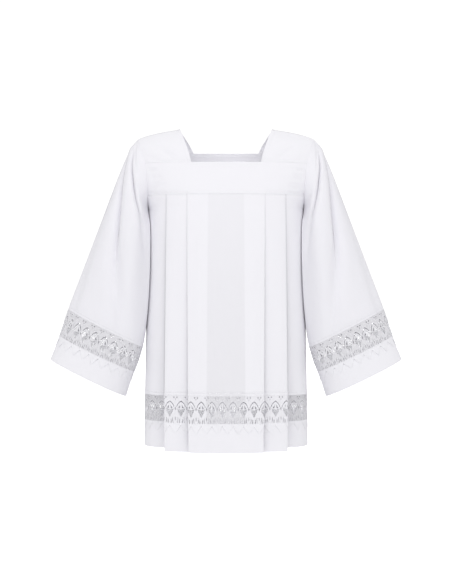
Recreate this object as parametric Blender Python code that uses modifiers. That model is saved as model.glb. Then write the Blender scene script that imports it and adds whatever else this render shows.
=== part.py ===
"""A white surplice with a square yoke, deep pleats, wide sleeves and lace insertions, hollow, as when worn.

Metres, +Z up. -Y is the front and +X the wearer's left. The origin lies midway between the shoulders, at
the height of the two points where the neck edge crosses the shoulder line.
"""

import math
from collections import namedtuple

import bmesh
import bpy
from mathutils import Vector
from mathutils.geometry import delaunay_2d_cdt

# Wall thicknesses, and the gap kept between neighbouring pieces
CLOTH = 0.0010
YOKE_CLOTH = 0.0014
HEM_CLOTH = 0.0014
LACE = 0.0010
SEAM_GAP = 0.0003
SIDE_SEAM_GAP = 0.0006
LACE_SPLIT_GAP = 0.0004

# Heights of the body's edges and seams
NECK_FRONT = -0.0898
NECK_BACK = -0.0490
YOKE_SEAM = -0.1680
UNDERARM = -0.1990
LACE_TOP = -0.6517
HEM_TOP = -0.7183
HEM = -0.7880

# The square neck: half its width at the front and back corners, and where it crosses the shoulders
NECK_CORNER_FRONT = 0.0845
NECK_CORNER_BACK = 0.0834
NECK_SHOULDER = 0.1145
NECK_FLARE = 1.25
STRAP_END_SHARE = 0.004
SHOULDER_RISE = 0.0015

# The armhole, an upright oval that stands on the body's side
ARMHOLE_MIDDLE = -0.1110
ARMHOLE_HALF_HEIGHT = 0.0880
ARMHOLE_HALF_DEPTH = 0.0700

# The body's level sections are superellipses of this power, with half depths to the front and back of x = 0
BODY_POWER = 2.4
BodyLevel = namedtuple("BodyLevel", "height front back")
BODY_DEPTHS = (
    BodyLevel(height=-0.000, front=0.070, back=0.066),
    BodyLevel(height=-0.049, front=0.086, back=0.076),
    BodyLevel(height=-0.090, front=0.098, back=0.090),
    BodyLevel(height=-0.168, front=0.120, back=0.106),
    BodyLevel(height=-0.280, front=0.131, back=0.116),
    BodyLevel(height=-0.500, front=0.136, back=0.120),
    BodyLevel(height=-0.788, front=0.140, back=0.124),
)
BodyWidth = namedtuple("BodyWidth", "height half_width")
BODY_WIDTHS = (
    BodyWidth(height=-0.199, half_width=0.1935),
    BodyWidth(height=-0.280, half_width=0.1945),
    BodyWidth(height=-0.500, half_width=0.1990),
    BodyWidth(height=-0.788, half_width=0.2050),
)
ArmholeEdge = namedtuple("ArmholeEdge", "height x")
ARMHOLE_EDGES = (
    ArmholeEdge(height=-0.199, x=0.1935),
    ArmholeEdge(height=-0.168, x=0.1915),
    ArmholeEdge(height=-0.130, x=0.1925),
    ArmholeEdge(height=-0.090, x=0.1960),
    ArmholeEdge(height=-0.060, x=0.2050),
    ArmholeEdge(height=-0.023, x=0.2175),
)

# The pleats, from the centre line to the side seam. A fold that turns +1 shows outside, and one that turns
# -1 lies behind. Under the yoke the layers are pressed together, and towards the hem they part, to the
# depths given.
PLEAT_PITCH = 0.0016
HEM_FOLD_RADIUS = 0.0029
Pleat = namedtuple("Pleat", "turn steps yoke_x hem_x yoke_layer hem_depth")
PLEATS = (
    Pleat(turn=+1, steps=3, yoke_x=0.0933, hem_x=0.0910, yoke_layer=0, hem_depth=0.000),
    Pleat(turn=-1, steps=2, yoke_x=0.0410, hem_x=0.0450, yoke_layer=1, hem_depth=0.022),
    Pleat(turn=+1, steps=3, yoke_x=0.1440, hem_x=0.1520, yoke_layer=2, hem_depth=0.002),
    Pleat(turn=-1, steps=2, yoke_x=0.0945, hem_x=0.1000, yoke_layer=3, hem_depth=0.060),
    Pleat(turn=0, steps=2, yoke_x=0.1480, hem_x=0.1540, yoke_layer=4, hem_depth=0.047),
)
SIDE_STEPS = 4
SHARPEST_TURN = 0.5

# How far the side panels' points stand above or below the rest of their level
SideHang = namedtuple("SideHang", "height rise")
SIDE_HANG = (
    SideHang(height=-0.450, rise=0.000),
    SideHang(height=-0.652, rise=-0.004),
    SideHang(height=-0.718, rise=-0.001),
    SideHang(height=-0.788, rise=0.004),
)
PANEL_ROWS = 4
PANEL_ROW_POWER = 1.2
ARMHOLE_ROWS = 2

# The sleeve, from the armhole (station 0) over the lace (7 to 8) to its end (9). Outer and inner are the ends
# of each oval section, seen from the front. inner_y below 0 brings the inner end in front of the body's side.
SLEEVE_POWER = 2.2
SLEEVE_COLUMNS = 28
SLEEVE_LACE_TOP = 7
SLEEVE_HEM_TOP = 8
SLEEVE_END = 9
Station = namedtuple("Station", "outer_x outer_z inner_x inner_z inner_y half_depth")
SLEEVE = (
    Station(outer_x=0.2175, outer_z=-0.0230, inner_x=0.1935, inner_z=-0.1990, inner_y=0.000, half_depth=0.070),
    Station(outer_x=0.2285, outer_z=-0.0345, inner_x=0.1930, inner_z=-0.2040, inner_y=-0.004, half_depth=0.071),
    Station(outer_x=0.2400, outer_z=-0.0490, inner_x=0.1925, inner_z=-0.2100, inner_y=-0.010, half_depth=0.071),
    Station(outer_x=0.2550, outer_z=-0.0840, inner_x=0.1910, inner_z=-0.2200, inner_y=-0.020, half_depth=0.071),
    Station(outer_x=0.2838, outer_z=-0.1590, inner_x=0.1870, inner_z=-0.2420, inner_y=-0.034, half_depth=0.070),
    Station(outer_x=0.3200, outer_z=-0.2540, inner_x=0.1862, inner_z=-0.3200, inner_y=-0.042, half_depth=0.068),
    Station(outer_x=0.3563, outer_z=-0.3490, inner_x=0.1903, inner_z=-0.4237, inner_y=-0.038, half_depth=0.066),
    Station(outer_x=0.3935, outer_z=-0.4465, inner_x=0.2060, inner_z=-0.5400, inner_y=-0.024, half_depth=0.063),
    Station(outer_x=0.4185, outer_z=-0.5190, inner_x=0.2300, inner_z=-0.6075, inner_y=-0.014, half_depth=0.061),
    Station(outer_x=0.4393, outer_z=-0.5710, inner_x=0.2480, inner_z=-0.6630, inner_y=-0.010, half_depth=0.060),
)
SLEEVE_ROWS = (0, 0.5, 1, 1.5, 2, 3, 4, 5, 6, 7)
ARMHOLE_BLEND = 2.5

# How far the sleeve's first ring stands out from the armhole's edge, and the sleeve from the body below it
ARMHOLE_GAP_TOP = 0.0006
ARMHOLE_GAP_LOW = 0.0018
SLEEVE_CLEARANCE = 0.0040
SLEEVE_SEAM_STATIONS = 0.002

# The folds that fall from the shoulder down each sleeve, as troughs. Angles are degrees round the section
# from its outer end over the front, and a fold fades where its depth is 0.
SleeveFold = namedtuple("SleeveFold", "station angle depth width")
SLEEVE_FOLDS = (
    (
        SleeveFold(station=2.0, angle=10, depth=0.000, width=16),
        SleeveFold(station=3.0, angle=27, depth=0.008, width=16),
        SleeveFold(station=4.0, angle=58, depth=0.012, width=15),
        SleeveFold(station=5.0, angle=78, depth=0.013, width=14),
        SleeveFold(station=6.0, angle=96, depth=0.011, width=13),
        SleeveFold(station=7.0, angle=117, depth=0.006, width=13),
        SleeveFold(station=8.0, angle=122, depth=0.000, width=13),
    ),
    (
        SleeveFold(station=1.0, angle=30, depth=0.000, width=16),
        SleeveFold(station=2.0, angle=53, depth=0.006, width=16),
        SleeveFold(station=3.0, angle=88, depth=0.010, width=16),
        SleeveFold(station=4.0, angle=124, depth=0.009, width=15),
        SleeveFold(station=5.0, angle=143, depth=0.005, width=14),
        SleeveFold(station=6.0, angle=150, depth=0.000, width=14),
    ),
    (
        SleeveFold(station=2.0, angle=-16, depth=0.000, width=16),
        SleeveFold(station=3.5, angle=-46, depth=0.010, width=16),
        SleeveFold(station=5.0, angle=-88, depth=0.012, width=15),
        SleeveFold(station=6.5, angle=-112, depth=0.007, width=14),
        SleeveFold(station=7.8, angle=-122, depth=0.000, width=13),
    ),
    (
        SleeveFold(station=1.0, angle=-40, depth=0.000, width=16),
        SleeveFold(station=2.5, angle=-84, depth=0.008, width=16),
        SleeveFold(station=4.5, angle=-134, depth=0.007, width=15),
        SleeveFold(station=5.5, angle=-142, depth=0.000, width=14),
    ),
)

# The lace: its height with the points of its lower edge, and the net gap that each repeat holds
LACE_HEIGHT = 0.0910
LACE_POINT = 0.0195
LACE_REPEAT = 0.0255
NET_GAP_TOP = 0.0335
NET_GAP_RISE = 0.0020
NET_GAP_HEIGHT = 0.0185
NET_GAP_HALF_WIDTH = 0.0088
FOLD_MARGIN = 0.0025
END_MARGIN = 0.15

# How many repeats lie between the middle of the lace and each fold, to the wearer's right (below 0) and left
LaceCount = namedtuple("LaceCount", "right left")
FRONT_COUNTS = (
    LaceCount(right=-3.36, left=4.04),
    LaceCount(right=-5.60, left=6.15),
    LaceCount(right=-9.60, left=10.23),
    LaceCount(right=-12.30, left=12.95),
    LaceCount(right=-18.20, left=18.85),
)
BACK_COUNTS = (
    LaceCount(right=-2.86, left=4.54),
    LaceCount(right=-4.96, left=6.64),
    LaceCount(right=-9.26, left=10.94),
    LaceCount(right=-11.86, left=13.54),
    LaceCount(right=-17.76, left=19.44),
)

WHITE_COTTON = (0.90, 0.90, 0.93, 1.0)
WHITE_LACE = (0.86, 0.86, 0.89, 1.0)


def mix(a, b, share):
    return a + (b - a) * share


def smooth_step(share):
    share = min(1.0, max(0.0, share))
    return share * share * (3 - 2 * share)


def signed_power(value, power):
    return math.copysign(abs(value) ** power, value)


def read_table(keys, values, key):
    """The value at a key, on a smooth curve through a table's rows. Keys rise from row to row."""
    last = len(keys) - 1
    if key <= keys[0] or key >= keys[last]:
        return values[0] if key <= keys[0] else values[last]
    i = max(n for n in range(last) if keys[n] <= key)

    def slope(n):
        before, after = max(n - 1, 0), min(n + 1, last)
        return (values[after] - values[before]) / (keys[after] - keys[before])

    step = keys[i + 1] - keys[i]
    t = (key - keys[i]) / step
    return (
        (2 * t**3 - 3 * t**2 + 1) * values[i]
        + (t**3 - 2 * t**2 + t) * step * slope(i)
        + (3 * t**2 - 2 * t**3) * values[i + 1]
        + (t**3 - t**2) * step * slope(i + 1)
    )


def column(table, key_name, value_name, key):
    """One named column of a table, read at a key of another."""
    rows = sorted(table, key=lambda row: getattr(row, key_name))
    keys = [getattr(row, key_name) for row in rows]
    values = [getattr(row, value_name) for row in rows]
    return read_table(keys, values, key)


def half_depth(height, side):
    """Half the body's depth at a height, to the front (side -1) or the back (side +1)."""
    return column(BODY_DEPTHS, "height", "front" if side < 0 else "back", height)


def armhole_edge(height):
    """(x, depth) of the armhole's edge at a height between its lowest and highest points."""
    share = min(1.0, max(-1.0, (height - ARMHOLE_MIDDLE) / ARMHOLE_HALF_HEIGHT))
    depth = ARMHOLE_HALF_DEPTH * math.sqrt(1 - share * share)
    return column(ARMHOLE_EDGES, "height", "x", height), depth


def half_width(height, side):
    """The body's half width. Above the underarm, the section is the one that runs through the armhole's edge."""
    if height <= UNDERARM:
        return column(BODY_WIDTHS, "height", "half_width", height)
    x, depth = armhole_edge(height)
    share = (depth / half_depth(height, side)) ** BODY_POWER
    return x / (1 - share) ** (1 / BODY_POWER)


def body_side_x(depth, height):
    """How far out the body's side stands at a depth (y) and a height."""
    side = -1 if depth < 0 else 1
    share = min(1.0, abs(depth) / half_depth(height, side)) ** BODY_POWER
    return half_width(height, side) * (1 - share) ** (1 / BODY_POWER)


def section_angle(x, height, side):
    """The section's parameter at x: 0 on the centre line, a quarter turn at the side seam."""
    share = min(1.0, x / half_width(height, side))
    return math.asin(share ** (BODY_POWER / 2))


def section_end(height, side):
    """The parameter where the cloth ends: at the armhole above the underarm, and at the side seam below it."""
    if height <= UNDERARM:
        return math.pi / 2
    return section_angle(armhole_edge(height)[0], height, side)


def section_point(angle, depth_in, height, side):
    """A point of the level section, moved in from it by a depth along its normal."""
    a, b = half_width(height, side), half_depth(height, side)
    across = max(0.0, math.sin(angle)) ** (2 / BODY_POWER)
    along = max(0.0, math.cos(angle)) ** (2 / BODY_POWER)
    normal = Vector((across ** (BODY_POWER - 1) / a, along ** (BODY_POWER - 1) / b)).normalized()
    x = a * across - normal.x * depth_in
    y = b * along - normal.y * depth_in
    return Vector((x, side * y))


def quarter_path(height, side):
    """The cloth's path from the centre line to the side, through the pleats."""
    opening = max(0.0, (YOKE_SEAM - height) / (YOKE_SEAM - HEM))
    radius = mix(PLEAT_PITCH / 2, HEM_FOLD_RADIUS, opening)

    def at_x(x, depth_in):
        return section_point(section_angle(x, height, side), depth_in, height, side)

    x, depth_in = 0.0, 0.0
    points = [at_x(x, depth_in)]
    for pleat in PLEATS:
        fold_x = mix(pleat.yoke_x, pleat.hem_x, opening)
        fold_depth = mix(pleat.yoke_layer * PLEAT_PITCH, pleat.hem_depth, opening)
        run_end = fold_x - pleat.turn * radius
        for step in range(1, pleat.steps + 1):
            share = step / pleat.steps
            points.append(at_x(mix(x, run_end, share), mix(depth_in, fold_depth, share)))
        x, depth_in = run_end, fold_depth
        if pleat.turn:
            points.append(at_x(fold_x, fold_depth + radius))
            depth_in = fold_depth + 2 * radius
            points.append(at_x(x, depth_in))
    start, end = section_angle(x, height, side), section_end(height, side)
    for step in range(1, SIDE_STEPS + 1):
        share = step / SIDE_STEPS
        points.append(section_point(mix(start, end, share), depth_in * (1 - share), height, side))
    return points


def moved_out(path, distance):
    """A level path moved sideways, to its right, with the same distance kept at its corners."""
    moved = []
    for i, point in enumerate(path):
        before = (point - path[i - 1]).normalized() if i else None
        after = (path[i + 1] - point).normalized() if i + 1 < len(path) else before
        before = before or after
        direction = (before + after).normalized()
        turned = Vector((direction.y, -direction.x))
        moved.append(point + turned * distance / max(SHARPEST_TURN, direction.dot(after)))
    return moved


def body_row(height, side, out=0.0):
    """The pleated path of the front or back at a height, from the wearer's right to left, moved out."""
    quarter = quarter_path(height, side)
    path = [Vector((-p.x, p.y)) for p in reversed(quarter[1:])] + quarter
    path = moved_out(path, -side * out) if out else path
    if height <= UNDERARM:
        path[0].y = path[-1].y = side * SIDE_SEAM_GAP / 2
    rise = column(SIDE_HANG, "height", "rise", height)
    hidden, last = PLEATS[-2].steps + PLEATS[-1].steps, len(path) - 1
    row = []
    for i, point in enumerate(path):
        from_side = min(i, last - i) - SIDE_STEPS
        row.append(Vector((point.x, point.y, height + rise * (1 - smooth_step(from_side / hidden)))))
    return row


def grid_faces(rows, columns, closed=False):
    """Faces between neighbouring rows of points, and from the last column to the first if closed."""
    faces = []
    for r in range(rows - 1):
        for c in range(columns if closed else columns - 1):
            n = (c + 1) % columns
            faces.append((r * columns + c, r * columns + n, (r + 1) * columns + n, (r + 1) * columns + c))
    return faces


def cloth_object(name, points, faces, thickness, material):
    """A named piece: an open surface, given its thickness by Solidify to both sides."""
    mesh = bpy.data.meshes.new(name)
    mesh.from_pydata([tuple(p) for p in points], [], faces)
    shape = bmesh.new()
    shape.from_mesh(mesh)
    bmesh.ops.recalc_face_normals(shape, faces=shape.faces)
    shape.to_mesh(mesh)
    shape.free()
    mesh.materials.append(material)
    mesh.shade_smooth()
    piece = bpy.data.objects.new(name, mesh)
    garment.objects.link(piece)
    wall = piece.modifiers.new("wall", "SOLIDIFY")
    wall.thickness = thickness
    wall.offset = 0.0
    wall.use_even_offset = True
    wall.use_quality_normals = True
    return piece


def sheet_from_rows(name, rows, thickness, material, closed=False):
    points = [point for row in rows for point in row]
    return cloth_object(name, points, grid_faces(len(rows), len(rows[0]), closed), thickness, material)


def yoke_band(name, side, top):
    """A yoke band, level at its top and bottom, from armhole to armhole."""
    bottom = YOKE_SEAM + SEAM_GAP / 2
    top = top - SEAM_GAP / 2
    row_steps, half_columns = 2, 7
    rows = []
    for r in range(row_steps + 1):
        height = mix(top, bottom, r / row_steps)
        end = section_end(height, side)
        angles = [end * c / half_columns for c in range(-half_columns, half_columns + 1)]
        row = []
        for angle in angles:
            point = section_point(abs(angle), 0.0, height, side)
            row.append(Vector((math.copysign(point.x, angle), point.y, height)))
        rows.append(row)
    return sheet_from_rows(name, rows, YOKE_CLOTH, cotton)


def neck_side(share):
    """The neck's side edge on the wearer's left: share 0 at the front corner, 0.5 on the shoulder, 1 at the back."""
    side = -1 if share < 0.5 else 1
    corner_x = NECK_CORNER_FRONT if side < 0 else NECK_CORNER_BACK
    corner_z = NECK_FRONT if side < 0 else NECK_BACK
    corner = section_point(section_angle(corner_x, corner_z, side), 0.0, corner_z, side)
    rise = math.sin(share * math.pi)
    x = mix(corner_x, NECK_SHOULDER, rise**NECK_FLARE)
    return Vector((x, corner.y * abs(math.cos(share * math.pi)), corner_z * (1 - rise)))


def armhole_point(angle):
    """The armhole's edge on the wearer's left, at an angle from its top over the front."""
    height = ARMHOLE_MIDDLE + ARMHOLE_HALF_HEIGHT * math.cos(angle)
    return Vector((armhole_edge(height)[0], -ARMHOLE_HALF_DEPTH * math.sin(angle), height))


def shoulder_strap(name, hand):
    """A yoke strap from the front band over the shoulder to the back band, between the neck and the armhole."""
    rows, columns = 10, 4

    def armhole_angle(height):
        return math.acos((height - ARMHOLE_MIDDLE) / ARMHOLE_HALF_HEIGHT)

    first, last = armhole_angle(NECK_FRONT), -armhole_angle(NECK_BACK)

    def edge_arc(across, height, side):
        """The strap's end, along the top of a band."""
        corner_x = NECK_CORNER_FRONT if side < 0 else NECK_CORNER_BACK
        start, end = section_angle(corner_x, height, side), section_end(height, side)
        point = section_point(mix(start, end, across), 0.0, height, side)
        return Vector((point.x, point.y, height))

    def arm_side(along):
        angle = mix(first, 0.0, along * 2) if along < 0.5 else mix(0.0, last, along * 2 - 1)
        return armhole_point(angle)

    grid = []
    for r in range(rows + 1):
        along = mix(STRAP_END_SHARE, 1 - STRAP_END_SHARE, r / rows)
        row = []
        for c in range(columns + 1):
            across = c / columns
            ruled = mix(neck_side(along), arm_side(along), across)
            ends = mix(edge_arc(across, NECK_FRONT, -1), edge_arc(across, NECK_BACK, 1), along)
            corners = mix(
                mix(neck_side(0), arm_side(0), across),
                mix(neck_side(1), arm_side(1), across),
                along,
            )
            point = ruled + ends - corners
            point.z += SHOULDER_RISE * 4 * across * (1 - across) * math.sin(math.pi * along)
            row.append(Vector((hand * point.x, point.y, point.z)))
        grid.append(row)
    return sheet_from_rows(name, grid, YOKE_CLOTH, cotton)


def pleated_panel(name, side):
    """The front or back body, from the yoke seam to the lace. Its upper rows end on the armhole's edge."""
    heights = []
    seam_angle = math.acos((YOKE_SEAM - ARMHOLE_MIDDLE) / ARMHOLE_HALF_HEIGHT)
    for r in range(ARMHOLE_ROWS):
        angle = mix(seam_angle, math.pi, r / ARMHOLE_ROWS)
        heights.append(ARMHOLE_MIDDLE + ARMHOLE_HALF_HEIGHT * math.cos(angle))
    heights[0] -= SEAM_GAP / 2
    for r in range(PANEL_ROWS + 1):
        heights.append(mix(UNDERARM, LACE_TOP + SEAM_GAP / 2, (r / PANEL_ROWS) ** PANEL_ROW_POWER))
    return sheet_from_rows(name, [body_row(h, side) for h in heights], CLOTH, cotton)


def hem_band(name, side):
    """The plain band below the lace. It lies inside the lace's lower edge."""
    inward = -(LACE + HEM_CLOTH) / 2 - SEAM_GAP
    rows = [body_row(h, side, inward) for h in (HEM_TOP, LACE_TOP - LACE_HEIGHT, HEM)]
    return sheet_from_rows(name, rows, HEM_CLOTH, cotton)


def running_lengths(points):
    lengths = [0.0]
    for before, after in zip(points, points[1:]):
        lengths.append(lengths[-1] + (after - before).length)
    return lengths


def point_at(points, lengths, length):
    """The point at a length along a path, on the straight runs between its points."""
    i = max(n for n in range(len(points) - 1) if lengths[n] <= length + 1e-9)
    share = (length - lengths[i]) / (lengths[i + 1] - lengths[i])
    return points[i].lerp(points[i + 1], share)


def inside(point, outline):
    """Whether a flat point lies inside an outline."""
    found = False
    for a, b in zip(outline, outline[1:] + outline[:1]):
        if (a[1] > point[1]) != (b[1] > point[1]):
            if point[0] < mix(a[0], b[0], (point[1] - a[1]) / (b[1] - a[1])):
                found = not found
    return found


def lace_outline(place, first, last):
    """The lace strip laid flat, u along it and v down from its top edge, with points along its lower edge.

    place gives u for a count of repeats. The points stand at half counts."""
    valley = LACE_HEIGHT - LACE_POINT

    def corner(count):
        share = abs(count % 1.0 - 0.5) * 2
        return (place(count), mix(LACE_HEIGHT, valley, share))

    half_counts = range(math.ceil(first * 2 + END_MARGIN), math.floor(last * 2 - END_MARGIN) + 1)
    steps = [n / 2 for n in half_counts]
    lower = [corner(count) for count in [first, *steps, last]]
    return [(place(first), 0.0), (place(last), 0.0), *reversed(lower)]


def lace_openings(place, first, last, folds):
    """The net gap of each repeat, left out where it would lie across a fold or an end."""
    openings = []
    half = NET_GAP_HALF_WIDTH / LACE_REPEAT
    for count in range(math.ceil(first), math.floor(last) + 1):
        if count - half < first or count + half > last:
            continue
        low, high = place(count - half), place(count + half)
        if any(low - FOLD_MARGIN < fold < high + FOLD_MARGIN for fold in folds):
            continue
        openings.append(
            [
                (low, NET_GAP_TOP),
                (place(count), NET_GAP_TOP - NET_GAP_RISE),
                (high, NET_GAP_TOP),
                (place(count), NET_GAP_TOP + NET_GAP_HEIGHT),
            ]
        )
    return openings


def lace_strip(name, levels, marks):
    """A lace piece on ruled strips between rows of points.

    levels lists (v, row), and marks lists (column, count of repeats) at the ends and folds. Vertical lines
    keep each flat face between two neighbouring columns, so that the faces follow every fold."""
    lengths = running_lengths(levels[0][1])
    start, end = lengths[0], lengths[-1]

    def place(count):
        i = max(n for n in range(len(marks) - 1) if marks[n][1] <= count + 1e-9)
        (low_column, low), (high_column, high) = marks[i], marks[i + 1]
        return mix(lengths[low_column], lengths[high_column], (count - low) / (high - low))

    first, last = marks[0][1], marks[-1][1]
    outline = lace_outline(place, first, last)
    openings = lace_openings(place, first, last, [lengths[c] for c, _ in marks[1:-1]])
    lines = [[(s, 0.0), (s, LACE_HEIGHT)] for s in lengths[1:-1]]
    lines += [[(start, v), (end, v)] for v, row in levels[1:-1]]
    flat_points, edges = [], []
    for shape in [outline, *openings]:
        at = len(flat_points)
        flat_points += shape
        edges += [(at + i, at + (i + 1) % len(shape)) for i in range(len(shape))]
    for line in lines:
        edges.append((len(flat_points), len(flat_points) + 1))
        flat_points += line
    made = delaunay_2d_cdt([Vector(p) for p in flat_points], edges, [], 0, 1e-5)
    corners, triangles = made[0], made[2]
    kept = []
    for triangle in triangles:
        middle = sum((corners[i] for i in triangle), Vector((0.0, 0.0))) / 3
        if inside(middle, outline) and not any(inside(middle, o) for o in openings):
            kept.append(triangle)
    used = sorted({i for triangle in kept for i in triangle})
    number = {i: n for n, i in enumerate(used)}
    points = []
    for i in used:
        u, v = corners[i]
        lower = min(n for n in range(1, len(levels)) if v <= levels[n][0] + 1e-7)
        (v0, row0), (v1, row1) = levels[lower - 1], levels[lower]
        above, below = point_at(row0, lengths, u), point_at(row1, lengths, u)
        points.append(above.lerp(below, (v - v0) / (v1 - v0)))
    faces = [tuple(number[i] for i in triangle) for triangle in kept]
    return cloth_object(name, points, faces, LACE, lace_thread)


def body_lace(name, side, counts):
    """The lace of the front or back, down to the points that lie on the hem band."""
    top = body_row(LACE_TOP - SEAM_GAP / 2, side)
    seam = body_row(HEM_TOP, side)
    bottom = body_row(LACE_TOP - LACE_HEIGHT, side)
    quarter, number = [], 0
    for pleat in PLEATS:
        number += pleat.steps
        if pleat.turn:
            quarter.append(number + 1)
            number += 2
    quarter.append(number + SIDE_STEPS)
    middle = len(top) // 2
    right = [middle - c for c in reversed(quarter)]
    left = [middle + c for c in quarter]
    marks = list(zip(right + left, [*(c.right for c in reversed(counts)), *(c.left for c in counts)]))
    return lace_strip(name, [(0.0, top), (LACE_TOP - HEM_TOP, seam), (LACE_HEIGHT, bottom)], marks)


def fold_trough(station, angle):
    """How far the sleeve's folds push its surface in, at an angle in degrees from the outer end over the front."""
    pushed = 0.0
    for fold in SLEEVE_FOLDS:
        if fold[0].station < station < fold[-1].station:
            middle = column(fold, "station", "angle", station)
            depth = max(0.0, column(fold, "station", "depth", station))
            width = column(fold, "station", "width", station)
            away = (angle - middle + 180) % 360 - 180
            pushed += depth * math.exp(-((away / width) ** 2))
    return pushed


def sleeve_value(name, station):
    return read_table(list(range(len(SLEEVE))), [getattr(row, name) for row in SLEEVE], station)


def sleeve_oval(station, angle):
    """(the section's middle, its surface point) at an angle from the outer end over the front."""
    outer = Vector((sleeve_value("outer_x", station), 0.0, sleeve_value("outer_z", station)))
    inner = Vector(
        (
            sleeve_value("inner_x", station),
            sleeve_value("inner_y", station),
            sleeve_value("inner_z", station),
        )
    )
    middle, half = (outer + inner) / 2, (outer - inner) / 2
    along = signed_power(math.cos(angle), 2 / SLEEVE_POWER)
    across = signed_power(math.sin(angle), 2 / SLEEVE_POWER)
    return middle, middle + half * along - Vector((0.0, sleeve_value("half_depth", station) * across, 0.0))


def sleeve_point(station, angle):
    """A point of the left sleeve's surface. Near the armhole it takes the armhole's shape."""
    middle, point = sleeve_oval(station, angle)
    point -= (point - middle).normalized() * fold_trough(station, math.degrees(angle))
    gap = mix(ARMHOLE_GAP_TOP, ARMHOLE_GAP_LOW, (1 - math.cos(angle)) / 2)
    seam = armhole_point(angle) + Vector((gap, 0.0, 0.0))
    blend = 1 - smooth_step(station / ARMHOLE_BLEND)
    point += (seam - sleeve_oval(0.0, angle)[1]) * blend
    if point.z < ARMHOLE_MIDDLE:
        clearance = mix(ARMHOLE_GAP_LOW, SLEEVE_CLEARANCE, smooth_step(station / ARMHOLE_BLEND))
        point.x = max(point.x, body_side_x(point.y, point.z) + clearance)
    return point


def sleeve_row(station, hand, inward=0.0):
    """One ring of the sleeve, for the wearer's left (hand +1) or right (-1), moved in by a distance."""
    row = []
    step = 2 * math.pi / SLEEVE_COLUMNS
    for c in range(SLEEVE_COLUMNS):
        point = sleeve_point(station, c * step)
        if inward:
            round_it = sleeve_point(station, (c + 0.5) * step) - sleeve_point(station, (c - 0.5) * step)
            down_it = sleeve_point(station + 0.1, c * step) - sleeve_point(station - 0.1, c * step)
            normal = round_it.cross(down_it).normalized()
            outward = point - sleeve_oval(station, 0.0)[0]
            point = point - normal * math.copysign(inward, normal.dot(outward))
        row.append(Vector((hand * point.x, point.y, point.z)))
    return row


def sleeve(name, hand):
    stations = list(SLEEVE_ROWS)
    stations[-1] -= SLEEVE_SEAM_STATIONS
    return sheet_from_rows(name, [sleeve_row(s, hand) for s in stations], CLOTH, cotton, closed=True)


def sleeve_hem(name, hand):
    """The plain band at the sleeve's end, inside the lace's points."""
    inward = (LACE + HEM_CLOTH) / 2 + SEAM_GAP
    stations = (SLEEVE_HEM_TOP, (SLEEVE_HEM_TOP + SLEEVE_END) / 2, SLEEVE_END)
    rows = [sleeve_row(s, hand, inward) for s in stations]
    return sheet_from_rows(name, rows, HEM_CLOTH, cotton, closed=True)


def sleeve_lace(name, hand, back):
    """Half the tube of a sleeve's lace: its front, or its back."""
    window = (
        sleeve_oval(SLEEVE_HEM_TOP, math.pi / 2)[1] - sleeve_oval(SLEEVE_LACE_TOP, math.pi / 2)[1]
    ).length
    band = (sleeve_oval(SLEEVE_END, math.pi / 2)[1] - sleeve_oval(SLEEVE_HEM_TOP, math.pi / 2)[1]).length
    tip_station = SLEEVE_HEM_TOP + (LACE_HEIGHT - window) / band

    def half_row(station):
        ring = sleeve_row(station, hand)
        half = SLEEVE_COLUMNS // 2
        row = ring[half:] + ring[:1] if back else ring[: half + 1]
        row[0] = row[0] + (row[1] - row[0]).normalized() * LACE_SPLIT_GAP / 2
        row[-1] = row[-1] + (row[-2] - row[-1]).normalized() * LACE_SPLIT_GAP / 2
        return row

    levels = [
        (0.0, half_row(SLEEVE_LACE_TOP + SLEEVE_SEAM_STATIONS)),
        (window, half_row(SLEEVE_HEM_TOP)),
        (LACE_HEIGHT, half_row(tip_station)),
    ]
    last = SLEEVE_COLUMNS // 2
    repeats = running_lengths(levels[0][1])[last] / LACE_REPEAT
    marks = [(0, -repeats), (last, 0.0)] if back else [(0, 0.0), (last, repeats)]
    return lace_strip(name, levels, marks)


def finish_material(name, colour, roughness):
    material = bpy.data.materials.new(name)
    material.use_nodes = True
    shader = material.node_tree.nodes["Principled BSDF"]
    shader.inputs["Base Color"].default_value = colour
    shader.inputs["Roughness"].default_value = roughness
    shader.inputs["Metallic"].default_value = 0.0
    return material


# Start from an empty scene
for old in list(bpy.data.objects):
    bpy.data.objects.remove(old)
garment = bpy.data.collections.new("surplice")
bpy.context.scene.collection.children.link(garment)
cotton = finish_material("white_cotton", WHITE_COTTON, 0.85)
lace_thread = finish_material("white_lace", WHITE_LACE, 0.80)

# Yoke
yoke_band("yoke_front", -1, NECK_FRONT)
yoke_band("yoke_back", 1, NECK_BACK)
shoulder_strap("strap_left", 1)
shoulder_strap("strap_right", -1)

# Body
for word, side, counts in (("front", -1, FRONT_COUNTS), ("back", 1, BACK_COUNTS)):
    pleated_panel("panel_" + word, side)
    body_lace("lace_" + word, side, counts)
    hem_band("hem_" + word, side)

# Sleeves
for word, hand in (("left", 1), ("right", -1)):
    sleeve("sleeve_" + word, hand)
    sleeve_lace("sleeve_lace_" + word + "_front", hand, back=False)
    sleeve_lace("sleeve_lace_" + word + "_back", hand, back=True)
    sleeve_hem("sleeve_hem_" + word, hand)
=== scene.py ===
"""A white surplice on its fixed frame: cotton, lace and stitching, on a plain studio stage.

Metres, +Z up. -Y is the front and +X the wearer's left. The origin lies midway between the shoulders.
"""

import bisect
import functools
import math
from collections import namedtuple

import bmesh
import bpy
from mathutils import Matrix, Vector
from mathutils.geometry import delaunay_2d_cdt


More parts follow.
